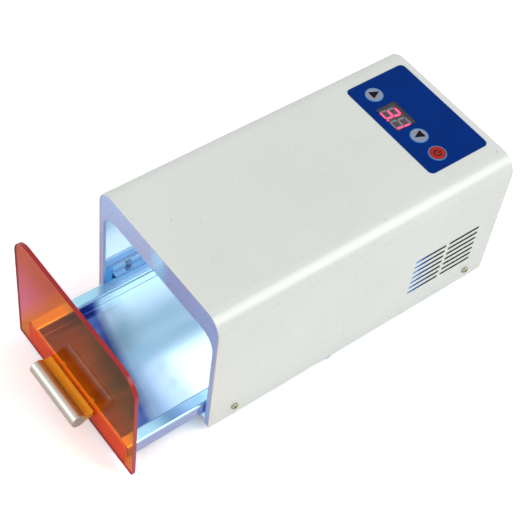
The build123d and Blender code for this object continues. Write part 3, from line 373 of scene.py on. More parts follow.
class Shading:
    """The node tree of a material or a world."""

    def __init__(self, owner):
        owner.use_nodes = True
        self.tree = owner.node_tree
        self.tree.nodes.clear()

    def add(self, kind, **values):
        """A node with its properties set."""
        node = self.tree.nodes.new(kind)
        for key, value in values.items():
            setattr(node, key, value)
        return node

    def join(self, source, target):
        """A link between two sockets, or a plain number, vector or colour on the second."""
        if isinstance(source, float):
            target.default_value = source
        elif isinstance(source, tuple):
            target.default_value = (*source, 1.0)[: len(target.default_value)]
        else:
            self.tree.links.new(source, target)

    def math(self, operation, *terms):
        """A sum on sockets and plain numbers."""
        node = self.add("ShaderNodeMath", operation=operation)
        for term, socket in zip(terms, node.inputs):
            self.join(term, socket)
        return node.outputs["Value"]

    def seen_directly(self):
        """One for rays that show the background: from the camera, in a gloss or through something clear."""
        path = self.add("ShaderNodeLightPath").outputs
        seen = self.math("MAXIMUM", path["Is Camera Ray"], path["Is Glossy Ray"])
        return self.math("MAXIMUM", seen, path["Is Transmission Ray"])


class Finish(Shading):
    """A material under construction, with its main shader and its object coordinates."""

    def __init__(self, name):
        self.material = bpy.data.materials.new(name)
        super().__init__(self.material)
        self.shader = self.add("ShaderNodeBsdfPrincipled")
        self.join(self.shader.outputs["BSDF"], self.add("ShaderNodeOutputMaterial").inputs["Surface"])
        self.place = self.add("ShaderNodeTexCoord").outputs["Object"]

    def set(self, **values):
        """Values or links on the main shader's sockets, named with underscores for spaces."""
        for key, value in values.items():
            self.join(value, self.shader.inputs[key.replace("_", " ")])
        return self

    def noise(self, scale, detail, stretch=None):
        """Noise on the object coordinates, drawn out along an axis where its stretch is small."""
        node = self.add("ShaderNodeTexNoise")
        self.join(scale, node.inputs["Scale"])
        self.join(detail, node.inputs["Detail"])
        place = self.place
        if stretch:
            mapping = self.add("ShaderNodeMapping")
            self.join(stretch, mapping.inputs["Scale"])
            self.join(place, mapping.inputs["Vector"])
            place = mapping.outputs["Vector"]
        self.join(place, node.inputs["Vector"])
        return node.outputs["Fac"]

    def along(self, axis):
        """The place along one axis, in metres."""
        split = self.add("ShaderNodeSeparateXYZ")
        self.join(self.place, split.inputs["Vector"])
        return split.outputs[axis]

    def aside(self, middle=0.0):
        """The distance from an upright plane across the object, in metres."""
        return self.math("ABSOLUTE", self.math("SUBTRACT", self.along("X"), middle))

    def all_of(self, first, *others):
        """The product of several factors."""
        for other in others:
            first = self.math("MULTIPLY", first, other)
        return first

    def remap(self, source, low, high, from_low=0.3, from_high=0.7):
        """The source spread between two values."""
        node = self.add("ShaderNodeMapRange")
        ends = {"Value": source, "From Min": from_low, "From Max": from_high, "To Min": low, "To Max": high}
        for name, value in ends.items():
            self.join(value, node.inputs[name])
        return node.outputs["Result"]

    def fade(self, source, start, end):
        """Zero where the source, or the place along the axis of this name, is at or short of the start, and one
        where it is at or past the end."""
        source = self.along(source) if isinstance(source, str) else source
        return self.remap(source, 0.0, 1.0, start, end)

    def blend(self, factor, first, second):
        """A mix of two colours, each a colour or a socket."""
        node = self.add("ShaderNodeMix", data_type="RGBA")
        self.join(factor, node.inputs["Factor"])
        self.join(first, node.inputs[6])
        self.join(second, node.inputs[7])
        return node.outputs[2]

    def drift(self, source, base, low, high):
        """The colour, which goes from low to high times itself with the source."""
        return self.blend(self.remap(source, 0.0, 1.0), scaled(base, low), scaled(base, high))

    def worn(self, source, tone, toward=WHITE):
        """The tone, a little nearer to another colour here and there."""
        return self.blend(self.remap(source, 0.0, 0.12), tone, toward)

    def tint(self, source, base, spread):
        """Base colour that drifts a little darker and lighter with the source."""
        return self.set(Base_Color=self.drift(source, base, 1 - spread, 1 + spread))

    def glow(self, factor, tone):
        """Faint light of this tone, where the factor is one."""
        return self.set(Emission_Color=self.blend(factor, BLACK, tone), Emission_Strength=1.0)

    def rough(self, source, low, high):
        """Roughness that drifts between two values."""
        return self.set(Roughness=self.remap(source, low, high))

    def relief(self, source, depth, strength=0.6):
        """Fine relief of this depth, in metres."""
        node = self.add("ShaderNodeBump")
        for name, value in {"Distance": depth, "Strength": strength, "Height": source}.items():
            self.join(value, node.inputs[name])
        return self.set(Normal=node.outputs["Normal"])


# Noise patterns: scale, detail and stretch
WIPE = (90.0, 4.0, (1.0, 0.12, 1.0))
SMUDGE = (25.0, 3.0)
WAVE = (6.0, 1.0)
WAVE_DEPTH = 0.0003
LINE_DEPTH = 0.000004
GRAIN_DEPTH = 0.00001
EVEN = (1.0, 1.0, 1.0)
# Pairs named _x, _y or _z in the finishes are places in metres, between which a tone fades in.


def painted(finish, base, rough=(0.22, 0.3), depth=GRAIN_DEPTH, coat=(1.0, 0.23), speck=0.765, painted_reflection=None):
    """Baked powder paint: orange-peel relief, slight drift of tone, a few darker specks, and a faint spot of stray
    lamp light about the middle."""
    speck_edge, spot_middle, spot_x = 0.035, 0.0015, (0.011, 0.002)
    even = finish.drift(finish.noise(14.0, 2.0), base, 0.965, 1.02)
    specks = finish.fade(finish.noise(420.0, 1.0), speck, speck + speck_edge)
    peel = finish.noise(1100.0, 2.0)
    finish.rough(peel, *rough).relief(peel, depth, 0.5)
    finish.set(Base_Color=finish.blend(specks, even, scaled(base, 0.72)), Coat_Weight=coat[0], Coat_Roughness=coat[1])
    # The spot's glow is a painted reflection.
    if painted_reflection:
        finish.glow(finish.fade(finish.aside(spot_middle), *spot_x), painted_reflection)


def slot_wall(finish):
    """Cut walls of the air slots: dark, and light blue to blue in the front slots, where the chamber's light leaks
    out."""
    # Painted light and shade: a light blue to blue glow at the front slots, and dark shade behind.
    light, blue, dark = (0.26, 0.58, 0.95), (0.03, 0.15, 0.50), (0.06, 0.09, 0.055)
    blue_y, dark_y = (0.0885, 0.094), (0.097, 0.110)
    front = finish.blend(finish.fade("Y", *blue_y), light, blue)
    finish.rough(finish.noise(300.0, 2.0), 0.4, 0.6)
    finish.set(Base_Color=finish.blend(finish.fade("Y", *dark_y), front, dark), Specular_IOR_Level=0.2)


def brushed(finish, base, stretch, rough, metal=1.0, spread=0.06, scale=2400.0, depth=LINE_DEPTH):
    """Ground or drawn metal: fine lines in tone, gloss and relief, along the axis where the stretch is small."""
    lines = finish.noise(scale, 3.0, stretch)
    finish.tint(lines, base, spread).relief(lines, depth).rough(finish.noise(*SMUDGE), *rough).set(Metallic=metal)


def polished(finish, base, rough, metal):
    """Polished sheet: reflections bent a little by the sheet's slow waves and dulled by faint wipe marks."""
    wipe = finish.noise(*WIPE)
    finish.tint(wipe, base, 0.03).relief(finish.noise(*WAVE), WAVE_DEPTH).rough(wipe, *rough).set(Metallic=metal)


def tray_sheet(finish, floor, rim):
    """Polished tray sheet: its floor is lit pale blue and turns deep blue and then dark in front of slanting lines,
    its flanges are duller, pale blue and whitish at the front, and its lips are violet."""
    # Painted light: a deep blue and a dark painted reflection of the front frame across the floor's front, a pale
    # blue painted glow on the floor, a whitish painted highlight on the flanges' front and a violet painted
    # reflection on the lips.
    strip, shade, light = (0.04, 0.11, 0.42), (0.17, 0.09, 0.20), (0.05, 0.13, 0.17)
    painted_highlight, lip = (0.95, 0.95, 0.95), (0.40, 0.48, 0.78)
    floor_x, lip_x = (0.0535, 0.0525), (0.0615, 0.0622)
    light_y, strip_y, shade_y, painted_highlight_y = (-0.121, -0.105), (-0.113, -0.121), (-0.128, -0.140), (-0.132, -0.142)
    top_z, low_z, flange_z = (0.0163, 0.0167), (0.021, 0.019), (0.0255, 0.0268)
    slope, flange_rough = 0.2, 0.02
    wipe = finish.noise(*WIPE)
    slant = finish.math("MULTIPLY_ADD", finish.along("X"), slope, finish.along("Y"))
    raised = finish.fade("Z", *flange_z)
    within = finish.fade(finish.aside(), *floor_x)
    ahead = finish.all_of(finish.fade(slant, *strip_y), within)
    front = finish.blend(finish.fade(slant, *shade_y), strip, shade)
    flange = finish.blend(finish.fade(slant, *painted_highlight_y), rim, painted_highlight)
    below = finish.blend(finish.fade(finish.aside(), *lip_x), finish.blend(ahead, floor, front), lip)
    finish.set(Base_Color=finish.worn(wipe, finish.blend(raised, below, flange)))
    finish.set(Roughness=finish.math("MULTIPLY_ADD", raised, flange_rough, finish.remap(wipe, 0.16, 0.21)))
    places = (finish.fade(source, *ends) for source, ends in (("Z", top_z), ("Z", low_z), (slant, light_y)))
    finish.glow(finish.all_of(within, *places), light).relief(finish.noise(9.0, 1.0), 0.0002).set(Metallic=0.9)


def rail_sheet(finish, base, band):
    """Polished rail, blue from the lamps, with a lighter band along its upper edge."""
    band_z = (0.0305, 0.0325)
    wipe = finish.noise(*WIPE)
    tone = finish.blend(finish.fade("Z", *band_z), base, band)
    finish.set(Base_Color=finish.worn(wipe, tone), Metallic=0.7).rough(wipe, 0.1, 0.18)
    finish.relief(finish.noise(*WAVE), WAVE_DEPTH)


def pan_sheet(finish, base, light):
    """Rolled steel of the base pan, lit by the lamps where it closes the chamber from below."""
    inside_x, inside_y, facing_z = (0.066, 0.064), (0.090, 0.080), (0.0055, 0.0060)
    lines = finish.noise(2400.0, 3.0, (1.0, 0.03, 1.0))
    finish.tint(lines, base, 0.06).rough(finish.noise(*SMUDGE), 0.3, 0.45).relief(lines, LINE_DEPTH)
    across = finish.fade(finish.aside(), *inside_x)
    ahead = finish.fade("Y", *inside_y)
    facing = finish.fade("Z", *facing_z)
    finish.glow(finish.all_of(ahead, across, facing), light).set(Metallic=0.6)


def drawn_bar(finish, base, neck):
    """Drawn aluminium with fine lines along the bar, golden towards the door, whose colour it picks up."""
    neck_y = (-0.1690, -0.1655)
    lines = finish.noise(3000.0, 3.0, (0.015, 1.0, 1.0))
    toward = finish.fade("Y", *neck_y)
    finish.set(Base_Color=finish.worn(lines, finish.blend(toward, base, neck), (0.5, 0.5, 0.5)))
    finish.rough(finish.noise(*SMUDGE), 0.3, 0.38).relief(lines, LINE_DEPTH)
    finish.set(Metallic=finish.remap(toward, 1.0, 0.5, 0.0, 1.0))


def mirror_sheet(finish, base, lip):
    """Mirror sheet of the chamber: a deep blue lip across the front of its ceiling, bluer low down, and plain blue
    beside the rails' front ends."""
    low_tone, patch, light = (0.42, 0.52, 0.7), (0.085, 0.27, 0.58), (0.04, 0.20, 0.42)
    front_y, lip_z, low_z, patch_z = (-0.079, -0.081), (0.100, 0.108), (0.0455, 0.0445), (0.038, 0.034)
    wipe = finish.noise(*WIPE)
    ahead = finish.fade("Y", *front_y)
    beside = finish.all_of(ahead, finish.fade("Z", *patch_z))
    plain = finish.drift(wipe, base, 0.97, 1.03)
    bluer = finish.blend(finish.fade("Z", *low_z), plain, scaled(base, low_tone))
    walls = finish.blend(beside, bluer, patch)
    finish.set(Base_Color=finish.blend(finish.all_of(ahead, finish.fade("Z", *lip_z)), walls, lip))
    finish.rough(wipe, 0.05, 0.11).relief(finish.noise(*WAVE), WAVE_DEPTH).glow(beside, light)
    finish.set(Metallic=finish.remap(beside, 0.85, 0.0, 0.0, 1.0))


def moulded(finish, base, rough=(0.35, 0.5), grain=1600.0, depth=GRAIN_DEPTH, spread=0.04, gloss=0.5):
    """Moulded plastic: fine spark-eroded grain and a slow drift of tone."""
    skin = finish.noise(grain, 2.0)
    finish.tint(finish.noise(40.0, 2.0), base, spread).rough(skin, *rough).relief(skin, depth, 0.5)
    finish.set(Specular_IOR_Level=gloss)


def laminate(finish, base):
    """Circuit board: green resist over the glass weave, with lighter tracks."""
    weave = finish.add("ShaderNodeTexWave", wave_type="BANDS", bands_direction="X")
    for socket, value in {"Scale": 180.0, "Distortion": 6.0, "Detail": 2.0, "Vector": finish.place}.items():
        finish.join(value, weave.inputs[socket])
    tracks = finish.fade(weave.outputs["Fac"], 0.86, 0.9)
    grain = finish.noise(2200.0, 2.0)
    finish.rough(grain, 0.28, 0.42).relief(grain, GRAIN_DEPTH, 0.4)
    finish.set(Base_Color=finish.blend(tracks, base, scaled(base, 2.4, 0.03)))


def lamp_glow(finish, base):
    """Coated lamp glass: the glow drifts a little and grows from the bent front end to the straight part."""
    full_y, dim = (-0.08, -0.055), (0.05, 0.12, 0.3)
    rise = finish.fade("Y", *full_y)
    finish.tint(finish.noise(60.0, 1.0), base, 0.05)
    finish.set(Emission_Color=finish.blend(rise, scaled(base, dim), base), Emission_Strength=1.12, Roughness=0.3)


def glowing(finish, base):
    """Lit surface: glow that drifts a little along the piece."""
    drift = finish.noise(60.0, 1.0)
    finish.tint(drift, base, 0.08)
    finish.set(Emission_Color=finish.drift(drift, base, 1.0, 1.1), Emission_Strength=4.0, Roughness=0.35)


def amber(finish, orange):
    """Clear amber acrylic that turns from orange to rose towards its left edge, where it picks up less of the
    tray's light."""
    warm, pink = (0.70, 0.11, 0.05), (0.90, 0.18, 0.34)
    slope, rose_x, pink_z = -0.667, (-0.081, -0.098), (0.10, 0.035)
    slant = finish.math("MULTIPLY_ADD", finish.along("Z"), slope, finish.along("X"))
    rose = finish.blend(finish.fade("Z", *pink_z), warm, pink)
    finish.set(Base_Color=finish.blend(finish.fade(slant, *rose_x), orange, rose))
    finish.rough(finish.noise(35.0, 3.0), 0.0, 0.03).set(IOR=1.1, Transmission_Weight=1.0)


def amber_edge(finish):
    """Polished edge of the door, where long ways through the sheet leave only deep red, warmer at the top and
    turning to magenta low down."""
    magenta, deep, warm = linear((0.72, 0.06, 0.28)), linear((0.60, 0.045, 0.07)), linear((0.70, 0.075, 0.07))
    red_z = (0.01, 0.06)
    drift = finish.fade(finish.noise(60.0, 2.0), 0.3, 0.7)
    red = finish.blend(drift, deep, warm)
    finish.set(Base_Color=finish.blend(finish.fade("Z", *red_z), magenta, red))
    finish.rough(drift, 0.12, 0.2).set(Specular_IOR_Level=0.4)


def smoked(finish, base):
    """Thin tinted acrylic over the display."""
    haze = finish.noise(150.0, 2.0)
    finish.tint(haze, base, 0.08).rough(haze, 0.06, 0.14).set(Alpha=0.32)
    finish.material.surface_render_method = "BLENDED"


def key_finish(finish, middle, ring):
    """Key cap in the piece's own UV map, whose distance from its middle is the radius in millimetres: the middle's
    colour inside, the ring's outside."""
    panel = bpy.context.scene.curing_panel
    start, soft = (panel.key_radius - panel.key_ring) * 1000, 0.15
    radius = finish.add("ShaderNodeVectorMath", operation="LENGTH")
    finish.join(finish.add("ShaderNodeUVMap", uv_map="cap").outputs["UV"], radius.inputs[0])
    edge = finish.fade(radius.outputs["Value"], start - soft, start + soft)
    grain = finish.noise(1500.0, 2.0)
    finish.set(Base_Color=finish.blend(edge, finish.drift(grain, middle, 0.93, 1.04), ring))
    finish.rough(grain, 0.34, 0.46).relief(grain, GRAIN_DEPTH, 0.4).set(Specular_IOR_Level=0.25)


# The recipe of each record slot and what it takes. None stands for the record's colour, a name for a colour property.
SCREW = (brushed, None, EVEN, (0.16, 0.30))
RECIPES = {
    "cover_paint": (painted, "cover"),
    # The front frame's tone is partly painted light, the lamps' blue; the last tone is the glow of a painted
    # reflection on its front.
    "frame_paint": (painted, "front", (0.26, 0.3), 0.000001, (0.6, 0.12), 0.95, (0.0, 0.2, 0.24)),
    "panel_paint": (painted, None),
    # The second tone is painted light: the glow of the lamps' light on the pan inside the chamber.
    "pan_steel": (pan_sheet, linear((0.70, 0.79, 0.85)), (0.30, 0.50, 0.62)),
    "zinc_screws": SCREW,
    # The rivets' blue tone is partly painted light: the lamps' blue light in their colour.
    "rivets": (brushed, linear((0.55, 0.72, 0.85)), EVEN, (0.3, 0.45), 0.6),
    "cover_screw_steel": (brushed, linear((0.67, 0.65, 0.55)), EVEN, (0.2, 0.32), 1.0, 0.12),
    "foot_rubber": (moulded, None, (0.6, 0.78), 900.0, 0.00003, 0.15),
    # The rail's tones are painted light: the lamps' blue, and a lighter band as a painted highlight.
    "rail_steel": (rail_sheet, (0.24, 0.47, 0.69), (0.50, 0.78, 0.90)),
    # The last tone is painted shade: the deep blue lip across the front of the chamber's ceiling.
    "mirror_sheet": (mirror_sheet, "liner", (0.03, 0.09, 0.35)),
    "bulkhead_sheet": (polished, "liner", (0.2, 0.3), 0.5),
    "tray_steel": (tray_sheet, "tray", "flange"),
    "amber_acrylic": (amber, (0.93, 0.215, 0.006)),
    # The golden tone is a painted reflection of the amber door.
    "handle_aluminium": (drawn_bar, "handle", (0.85, 0.58, 0.03)),
    "handle_screw_steel": SCREW,
    "lamp_glass": (lamp_glow, "lamp"),
    "lamp_base_plastic": (moulded, None, (0.25, 0.35)),
    "socket_plastic": (moulded, None),
    "clip_steel": (polished, "liner", (0.12, 0.22), 0.7),
    "panel_foil": (moulded, "foil", (0.3, 0.42), 2600.0, 0.000012, 0.08, 0.04),
    "window_smoke": (smoked, (0.14, 0.125, 0.14)),
    "key_grey": (key_finish, "key", "ring"),
    "key_red": (key_finish, "start", "ring"),
    "switch_black": (moulded, None, (0.32, 0.45)),
    "board_green": (laminate, None),
    "display_grey": (moulded, linear((0.31, 0.29, 0.34)), (0.3, 0.45), 4000.0, 0.000001, 0.04, 0.2),
    "bars_lit": (glowing, "lit"),
    "bars_dark": (moulded, linear((0.95, 0.91, 0.94)), (0.3, 0.4)),
    "core_iron": (brushed, None, (0.02, 0.02, 1.0), (0.35, 0.5), 1.0, 0.3, 1500.0, 0.00002),
    "choke_ferrite": (moulded, None, (0.45, 0.6), 1200.0, 0.00003, 0.2),
    "can_sleeve": (moulded, None, (0.15, 0.25)),
    "relay_blue": (moulded, None, (0.2, 0.3)),
    "terminal_nylon": (moulded, None, (0.4, 0.5)),
    "guard_chrome": (brushed, None, EVEN, (0.08, 0.16), 1.0, 0.06, 800.0, 0.000003),
    "pin_nickel": (brushed, None, (1.0, 0.05, 1.0), (0.15, 0.25)),
    "rocker_red": (moulded, None, (0.18, 0.28)),
    # Faces and pieces with a finish of their own
    "slot_wall": (slot_wall,),
    "amber_edge": (amber_edge,),
    "tray_plate": (brushed, linear((0.94, 0.95, 0.96)), (0.02, 1.0, 1.0), (0.3, 0.4), 0.2),
    "mark_black": (moulded, "mark", (0.45, 0.6), 1600.0, GRAIN_DEPTH, 0.04, 0.1),
    "window_border": (moulded, (0.02, 0.018, 0.02), (0.35, 0.5), 1600.0, GRAIN_DEPTH, 0.04, 0.2),
}
MATERIALS = {}


def finish_for(name):
    """The material of a record slot or of one of the other finishes, made once."""
    if name not in MATERIALS:
        finish = Finish(name)
        recipe, *values = RECIPES[name]
        recipe(finish, *(recipe_value(name, value) for value in values))
        MATERIALS[name] = finish.material
    return MATERIALS[name]


def recipe_value(slot, value):
    """The value itself, or the colour that None or a name stands for."""
    if value is None:
        return linear(RECORD_COLOURS[slot])
    if isinstance(value, str):
        return linear(getattr(bpy.context.scene.curing_colours, value))
    return value


# ---- Pieces
FINE_EDGE = 0.00012
PLASTIC_EDGE = 0.0003
EDGE_WIDTHS = {"front_frame": 0.00035, "fuse_cap": 0.0002}
EDGE_WIDTHS |= dict.fromkeys(("power_inlet", "switch_body", "fan_frame"), PLASTIC_EDGE)


def box_of(node):
    """The node's lowest and highest corners as arrays."""
    return np.array(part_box(node))


def plate_in_box(name, node, radii, steps, edge, axis=1):
    """A slab with rounded corners that fills the node's box."""
    low, high = box_of(node)
    across = [place for place in range(3) if place != axis]
    outline = rounded_outline(corners_of(low[across], high[across]), radii, steps)
    return soften(make_object(name, [slab(outline, low[axis], high[axis], edge, axis)]))


def build_cover():
    """The cover: an arch path, right side, corner, top, corner, left side, carries the sheet's cross-section of
    full depth along it."""
    sizes = bpy.context.scene.curing_case
    low, high = box_of("cover")
    half, steps = high[0], 20
    below = low[2] - 2 * half
    outline, normals = rounded_outline(corners_of((-half, below), (half, high[2])), sizes.corner, steps)
    upper = slice(steps + 1, 3 * (steps + 1))
    path = np.vstack([[half, low[2]], outline[upper], [-half, low[2]]])
    aside = np.vstack([[1.0, 0.0], normals[upper], [-1.0, 0.0]])
    depth = np.array([0.0, 0.0, -sizes.sheet, -sizes.sheet])
    along = np.array([low[1], high[1], high[1], low[1]])
    flat = path[:, None, :] + aside[:, None, :] * depth[None, :, None]
    rings = np.stack([flat[..., 0], np.broadcast_to(along, flat.shape[:2]), flat[..., 1]], -1)
    cover = make_object("cover_shell", [shell(rings)])
    cut(cover, cover_cutters(sizes, low, high))
    install(soften(cover, sizes.rim, 50), "cover")
    ahead = high[1] - sizes.slot_front - sizes.slot_length
    above = low[2] + sizes.slot_low + sizes.slot_rows * sizes.slot_pitch
    first = (-1.0, ahead, low[2] + sizes.slot_low / 2)
    mark_rim(cover, 0, finish_for("slot_wall"), first, (1.0, high[1] - sizes.slot_rear / 2, above))


def cover_cutters(sizes, low, high):
    """Slots and screw holes right through both sides, and the window and key holes through the top."""
    cutters = []
    reach = high[0] + sizes.corner
    inner = high[0] - 3 * sizes.sheet
    half = sizes.slot_height / 2
    run = sizes.slot_length / 2 - half
    for middle in (high[1] - sizes.slot_front, high[1] - sizes.slot_rear):
        for row in range(sizes.slot_rows):
            height = low[2] + sizes.slot_low + row * sizes.slot_pitch
            ends = arc((middle + run, height), half, -90, 90, 12), arc((middle - run, height), half, 90, 270, 12)
            cutters += [bar_between(np.vstack(ends), 0, side * inner, side * reach) for side in (-1, 1)]
    for place in (low[1] + sizes.screw_front, high[1] - sizes.screw_rear):
        hole = arc((place, low[2] + sizes.screw_height), sizes.screw_hole, 0, 345, 23)
        cutters.append(bar_between(hole, 0, -reach, reach))
    key_gap = bpy.context.scene.curing_panel.key_gap
    return cutters + panel_holes(key_gap, high[2] - sizes.corner / 2, high[2] + sizes.corner)


def panel_holes(gap, under, over):
    """Cutters for the display window and for the keys, these with a gap round them."""
    sizes = bpy.context.scene.curing_panel
    low, high = box_of("display_window")
    window = corners_of(low - sizes.window_gap, high + sizes.window_gap)
    outlines = [rounded_outline(window, sizes.window_corner, 6)[0]]
    outlines += [arc(key_centre(key), sizes.key_radius + gap, 0, 354.375, 63) for key in KEYS]
    return [bar_between(outline, 2, under, over) for outline in outlines]


def key_centre(key):
    """A key's axis in x and y."""
    return box_of(key).mean(0)[:2]


def build_tray():
    """The tray: a folded line, lip, flange, wall, floor and back up, carries the sheet's thickness to both sides
    and runs the tray's length; end walls and stop ears close it."""
    sizes = bpy.context.scene.curing_drawer
    low, high = box_of("tray")
    half = sizes.sheet / 2
    lip = high[0] - sizes.ear - half
    wall = lip - sizes.flange + sizes.sheet
    top = high[2] - half
    floor = low[2] + sizes.floor_height - half
    right = [(lip, low[2]), (lip, top), (wall, top), (wall, floor)]
    line, normals = folded_line(right + [(-x, z) for x, z in right[::-1]], sizes.bend, 8)
    loop = np.vstack([line + normals * half, (line - normals * half)[::-1]])
    parts = [bar_between(loop, 1, low[1], high[1])]
    upper = (sizes.bend + half) / 2
    inner = wall - half
    end = rounded_outline(corners_of((-inner, floor + half), (inner, high[2])), [upper, half, half, upper], 6)
    for near in (low[1], high[1] - sizes.sheet):
        parts.append(slab(end, near, near + sizes.sheet, half * 0.6))
    ear_low = low[2] + sizes.sheet
    for inside, outside in ((-high[0], -lip), (lip, high[0])):
        corners = corners_of((inside, ear_low), (outside, ear_low + sizes.ear_height))
        parts.append(slab(rounded_outline(corners, half, 3), high[1] - sizes.ear_length, high[1], half / 3))
    install(soften(make_object("tray_folded", parts), FINE_EDGE, 60), "tray")
    radii = [half, sizes.plate_corner, sizes.plate_corner, half]
    plate = plate_in_box("tray_front_plate", "tray_front", radii, 10, 0.0003)
    install(plate, "tray_front", finish_for("tray_plate"))


def build_door():
    """The door: a rounded outline with large upper and small lower corners, as a slab with softened edges."""
    sizes = bpy.context.scene.curing_drawer
    radii = [sizes.door_low_corner, sizes.door_corner, sizes.door_corner, sizes.door_low_corner]
    door = install(plate_in_box("door_sheet", "door", radii, 24, sizes.door_edge), "door")
    mark_rim(door, 1, finish_for("amber_edge"))


def build_handle():
    """The handle: a section of a round nose, two hollow blends and a flat neck, carried across and drawn in at both
    ends by a quarter circle."""
    sizes = bpy.context.scene.curing_drawer
    low, high = box_of("handle")
    radius = (high[2] - low[2]) / 2
    nose = np.array([low[1] + radius, (low[2] + high[2]) / 2])
    half = sizes.neck / 2
    hollow_z = half + sizes.blend
    hollow_y = math.sqrt((radius + sizes.blend) ** 2 - hollow_z**2)
    touch = math.degrees(math.atan2(hollow_z, hollow_y))
    front = arc((0, 0), radius, touch, 360 - touch, 48)
    lower = arc((hollow_y, -hollow_z), sizes.blend, 180 - touch, 90, 10)
    lower_aside = -(lower - (hollow_y, -hollow_z)) / sizes.blend
    neck = corners_of((hollow_y, -half), (high[1] - nose[0], half))
    seat, seat_aside = (part[:8] for part in rounded_outline(neck, 0.0002, 3))

    def mirrored(points):
        return (points * (1, -1))[::-1]

    section = np.vstack([front, lower[1:], seat, mirrored(lower)[:-1]])
    aside = np.vstack([front / radius, lower_aside[1:], seat_aside, mirrored(lower_aside)[:-1]])
    bar = slab((section + nose, aside), low[0], high[0], sizes.handle_edge, 0, 4)
    install(soften(make_object("handle_bar", [bar])), "handle")


def build_keys():
    """The keys: a turned stem, collar and cap with a softened rim, whose UV map holds the place on the cap in
    millimetres from the axis; triangles and an on mark stand on them."""
    sizes = bpy.context.scene.curing_panel
    stem, collar_depth = 0.00175, 0.001
    over = box_of("cover")[1][2] - bpy.context.scene.curing_case.sheet - sizes.key_gap
    under = over - collar_depth
    for key in KEYS:
        low, high = box_of(key)
        centre = key_centre(key)
        collar = (high[0] - low[0]) / 2
        top = high[2] - sizes.mark_relief
        foot = [(0, low[2]), (stem, low[2]), (stem, under), (collar, under), (collar, over), (sizes.key_radius, over)]
        rim = arc((sizes.key_radius - sizes.key_edge, top - sizes.key_edge), sizes.key_edge, 0, 90, 4)
        profile = np.vstack([foot, rim, [(0, top)]])
        piece = soften(make_object(key + "_cap", [turned(profile, (*centre, 0), 2, 64)]))
        chart = piece.data.uv_layers.new(name="cap").data
        corner = values_of(piece.data.loops, "vertex_index", 1, np.int32)[:, 0]
        flat = (values_of(piece.data.vertices, "co")[corner, :2] - centre) * 1000
        chart.foreach_set("uv", flat.astype(np.float32).ravel())
        install(piece, key)
    build_marks(sizes)


# Each triangle's direction and its shift from the key's axis
TRIANGLES = {"key_up": (1, (-0.0006, 0.0001)), "key_down": (-1, (-0.0003, 0.001))}
TRIANGLE_CORNER = 0.0003
# The on mark: radii of its open ring, the ring's first and last angle, half the bar's width, and the bar's ends
ON_RING = (0.0029, 0.0021)
ON_OPEN = (125, 415)
ON_STROKE = 0.0004
ON_BAR = (0.0009, 0.0031)


def build_marks(sizes):
    """The keys' marks: a triangle to the rear, one to the front, and an open ring with a bar."""
    ink = finish_for("mark_black")
    relief = sizes.mark_relief
    for key, (turn, shift) in TRIANGLES.items():
        top = box_of(key)[1][2]
        half, rise = sizes.mark_width / 2 * turn, sizes.mark_height * turn
        corners = [(half, -rise / 3), (0, rise * 2 / 3), (-half, -rise / 3)]
        outline, aside = rounded_outline(corners, TRIANGLE_CORNER, 4)
        mark = slab((outline + key_centre(key) + shift, aside), top - 2 * relief, top, relief / 2, 2)
        install(soften(make_object(key + "_mark", [mark])), key, ink, False)
    top = box_of("key_start")[1][2]
    centre = key_centre("key_start")
    outer, inner = ON_RING
    ring = np.vstack([arc(centre, outer, *ON_OPEN, 40), arc(centre, inner, *ON_OPEN[::-1], 40)])
    ends = (centre + (0, rise) for rise in ON_BAR)
    bar = np.vstack([arc(end, ON_STROKE, start, start + 180, 6) for end, start in zip(ends, (180, 0))])
    parts = [bar_between(shape, 2, top - 2 * relief, top) for shape in (ring, bar)]
    install(soften(make_object("key_start_mark", parts)), "key_start", ink, False)


def build_foil():
    """The front foil and the display window: rounded slabs on the cover, cut for the keys and the window."""
    sizes = bpy.context.scene.curing_panel
    past = 0.001
    low, high = box_of("panel_overlay")
    outline = rounded_outline(corners_of(low, high), sizes.foil_corner, 12)[0]
    foil = make_object("panel_foil_sheet", [bar_between(outline, 2, low[2], high[2])])
    cut(foil, panel_holes(sizes.foil_gap, low[2] - past, high[2] + past))
    install(soften(foil, sizes.foil_edge, 50), "panel_overlay")
    window = plate_in_box("display_window_sheet", "display_window", sizes.window_corner, 6, 0.0001, 2)
    install(window, "display_window")
    mark_rim(window, 2, finish_for("window_border"))


def build_feet():
    """The feet: a closed section with softened rims and a screw well, turned about each foot's axis."""
    low, high = box_of("feet")
    top_radius, low_radius, rim = 0.0075, 0.0062, 0.0008
    hole, well, well_top, lead, top_edge = 0.0017, 0.0036, low[2] + 0.0024, 0.0004, 0.0003
    inside = [(hole, high[2]), (hole, well_top), (well, well_top), (well, low[2] + lead), (well + top_edge, low[2])]
    lower_rim = arc((low_radius - rim, low[2] + rim), rim, -90, -8, 5)
    section = np.vstack([inside, lower_rim, [(top_radius, high[2] - rim), (top_radius - top_edge, high[2])]])
    centres = [(x, y, 0) for x in (low[0] + top_radius, high[0] - top_radius)
               for y in (low[1] + top_radius, high[1] - top_radius)]
    for index, centre in enumerate(centres):
        foot = make_object(f"foot_{index + 1}", [turned(section, centre, hollow=True)])
        install(soften(foot), "feet", stands=index == 0)


def build_lamps():
    """The lamps: each tube is a turned rod with a half-sphere at its front, and a short cross tube joins the pair."""
    bridge, bridge_inset = 0.0032, 0.008
    for node in ("lamp_tube_1", "lamp_tube_2", "lamp_tube_3"):
        low, high = box_of(node)
        radius = (high[2] - low[2]) / 2
        rise = (low[2] + high[2]) / 2
        span = (low[0] + radius, high[0] - radius)
        tip = arc((low[1] + radius, 0), radius, 180, 90, 12)[:, ::-1]
        profile = np.vstack([tip, [(radius, high[1]), (0, high[1])]])
        parts = [turned(profile, (x, 0, rise), 1, 40) for x in span]
        profile = [(0, span[0]), (bridge, span[0]), (bridge, span[1]), (0, span[1])]
        parts.append(turned(profile, (0, low[1] + bridge_inset, rise), 0, 24))
        install(soften(make_object(node.replace("tube", "glass"), parts)), node)


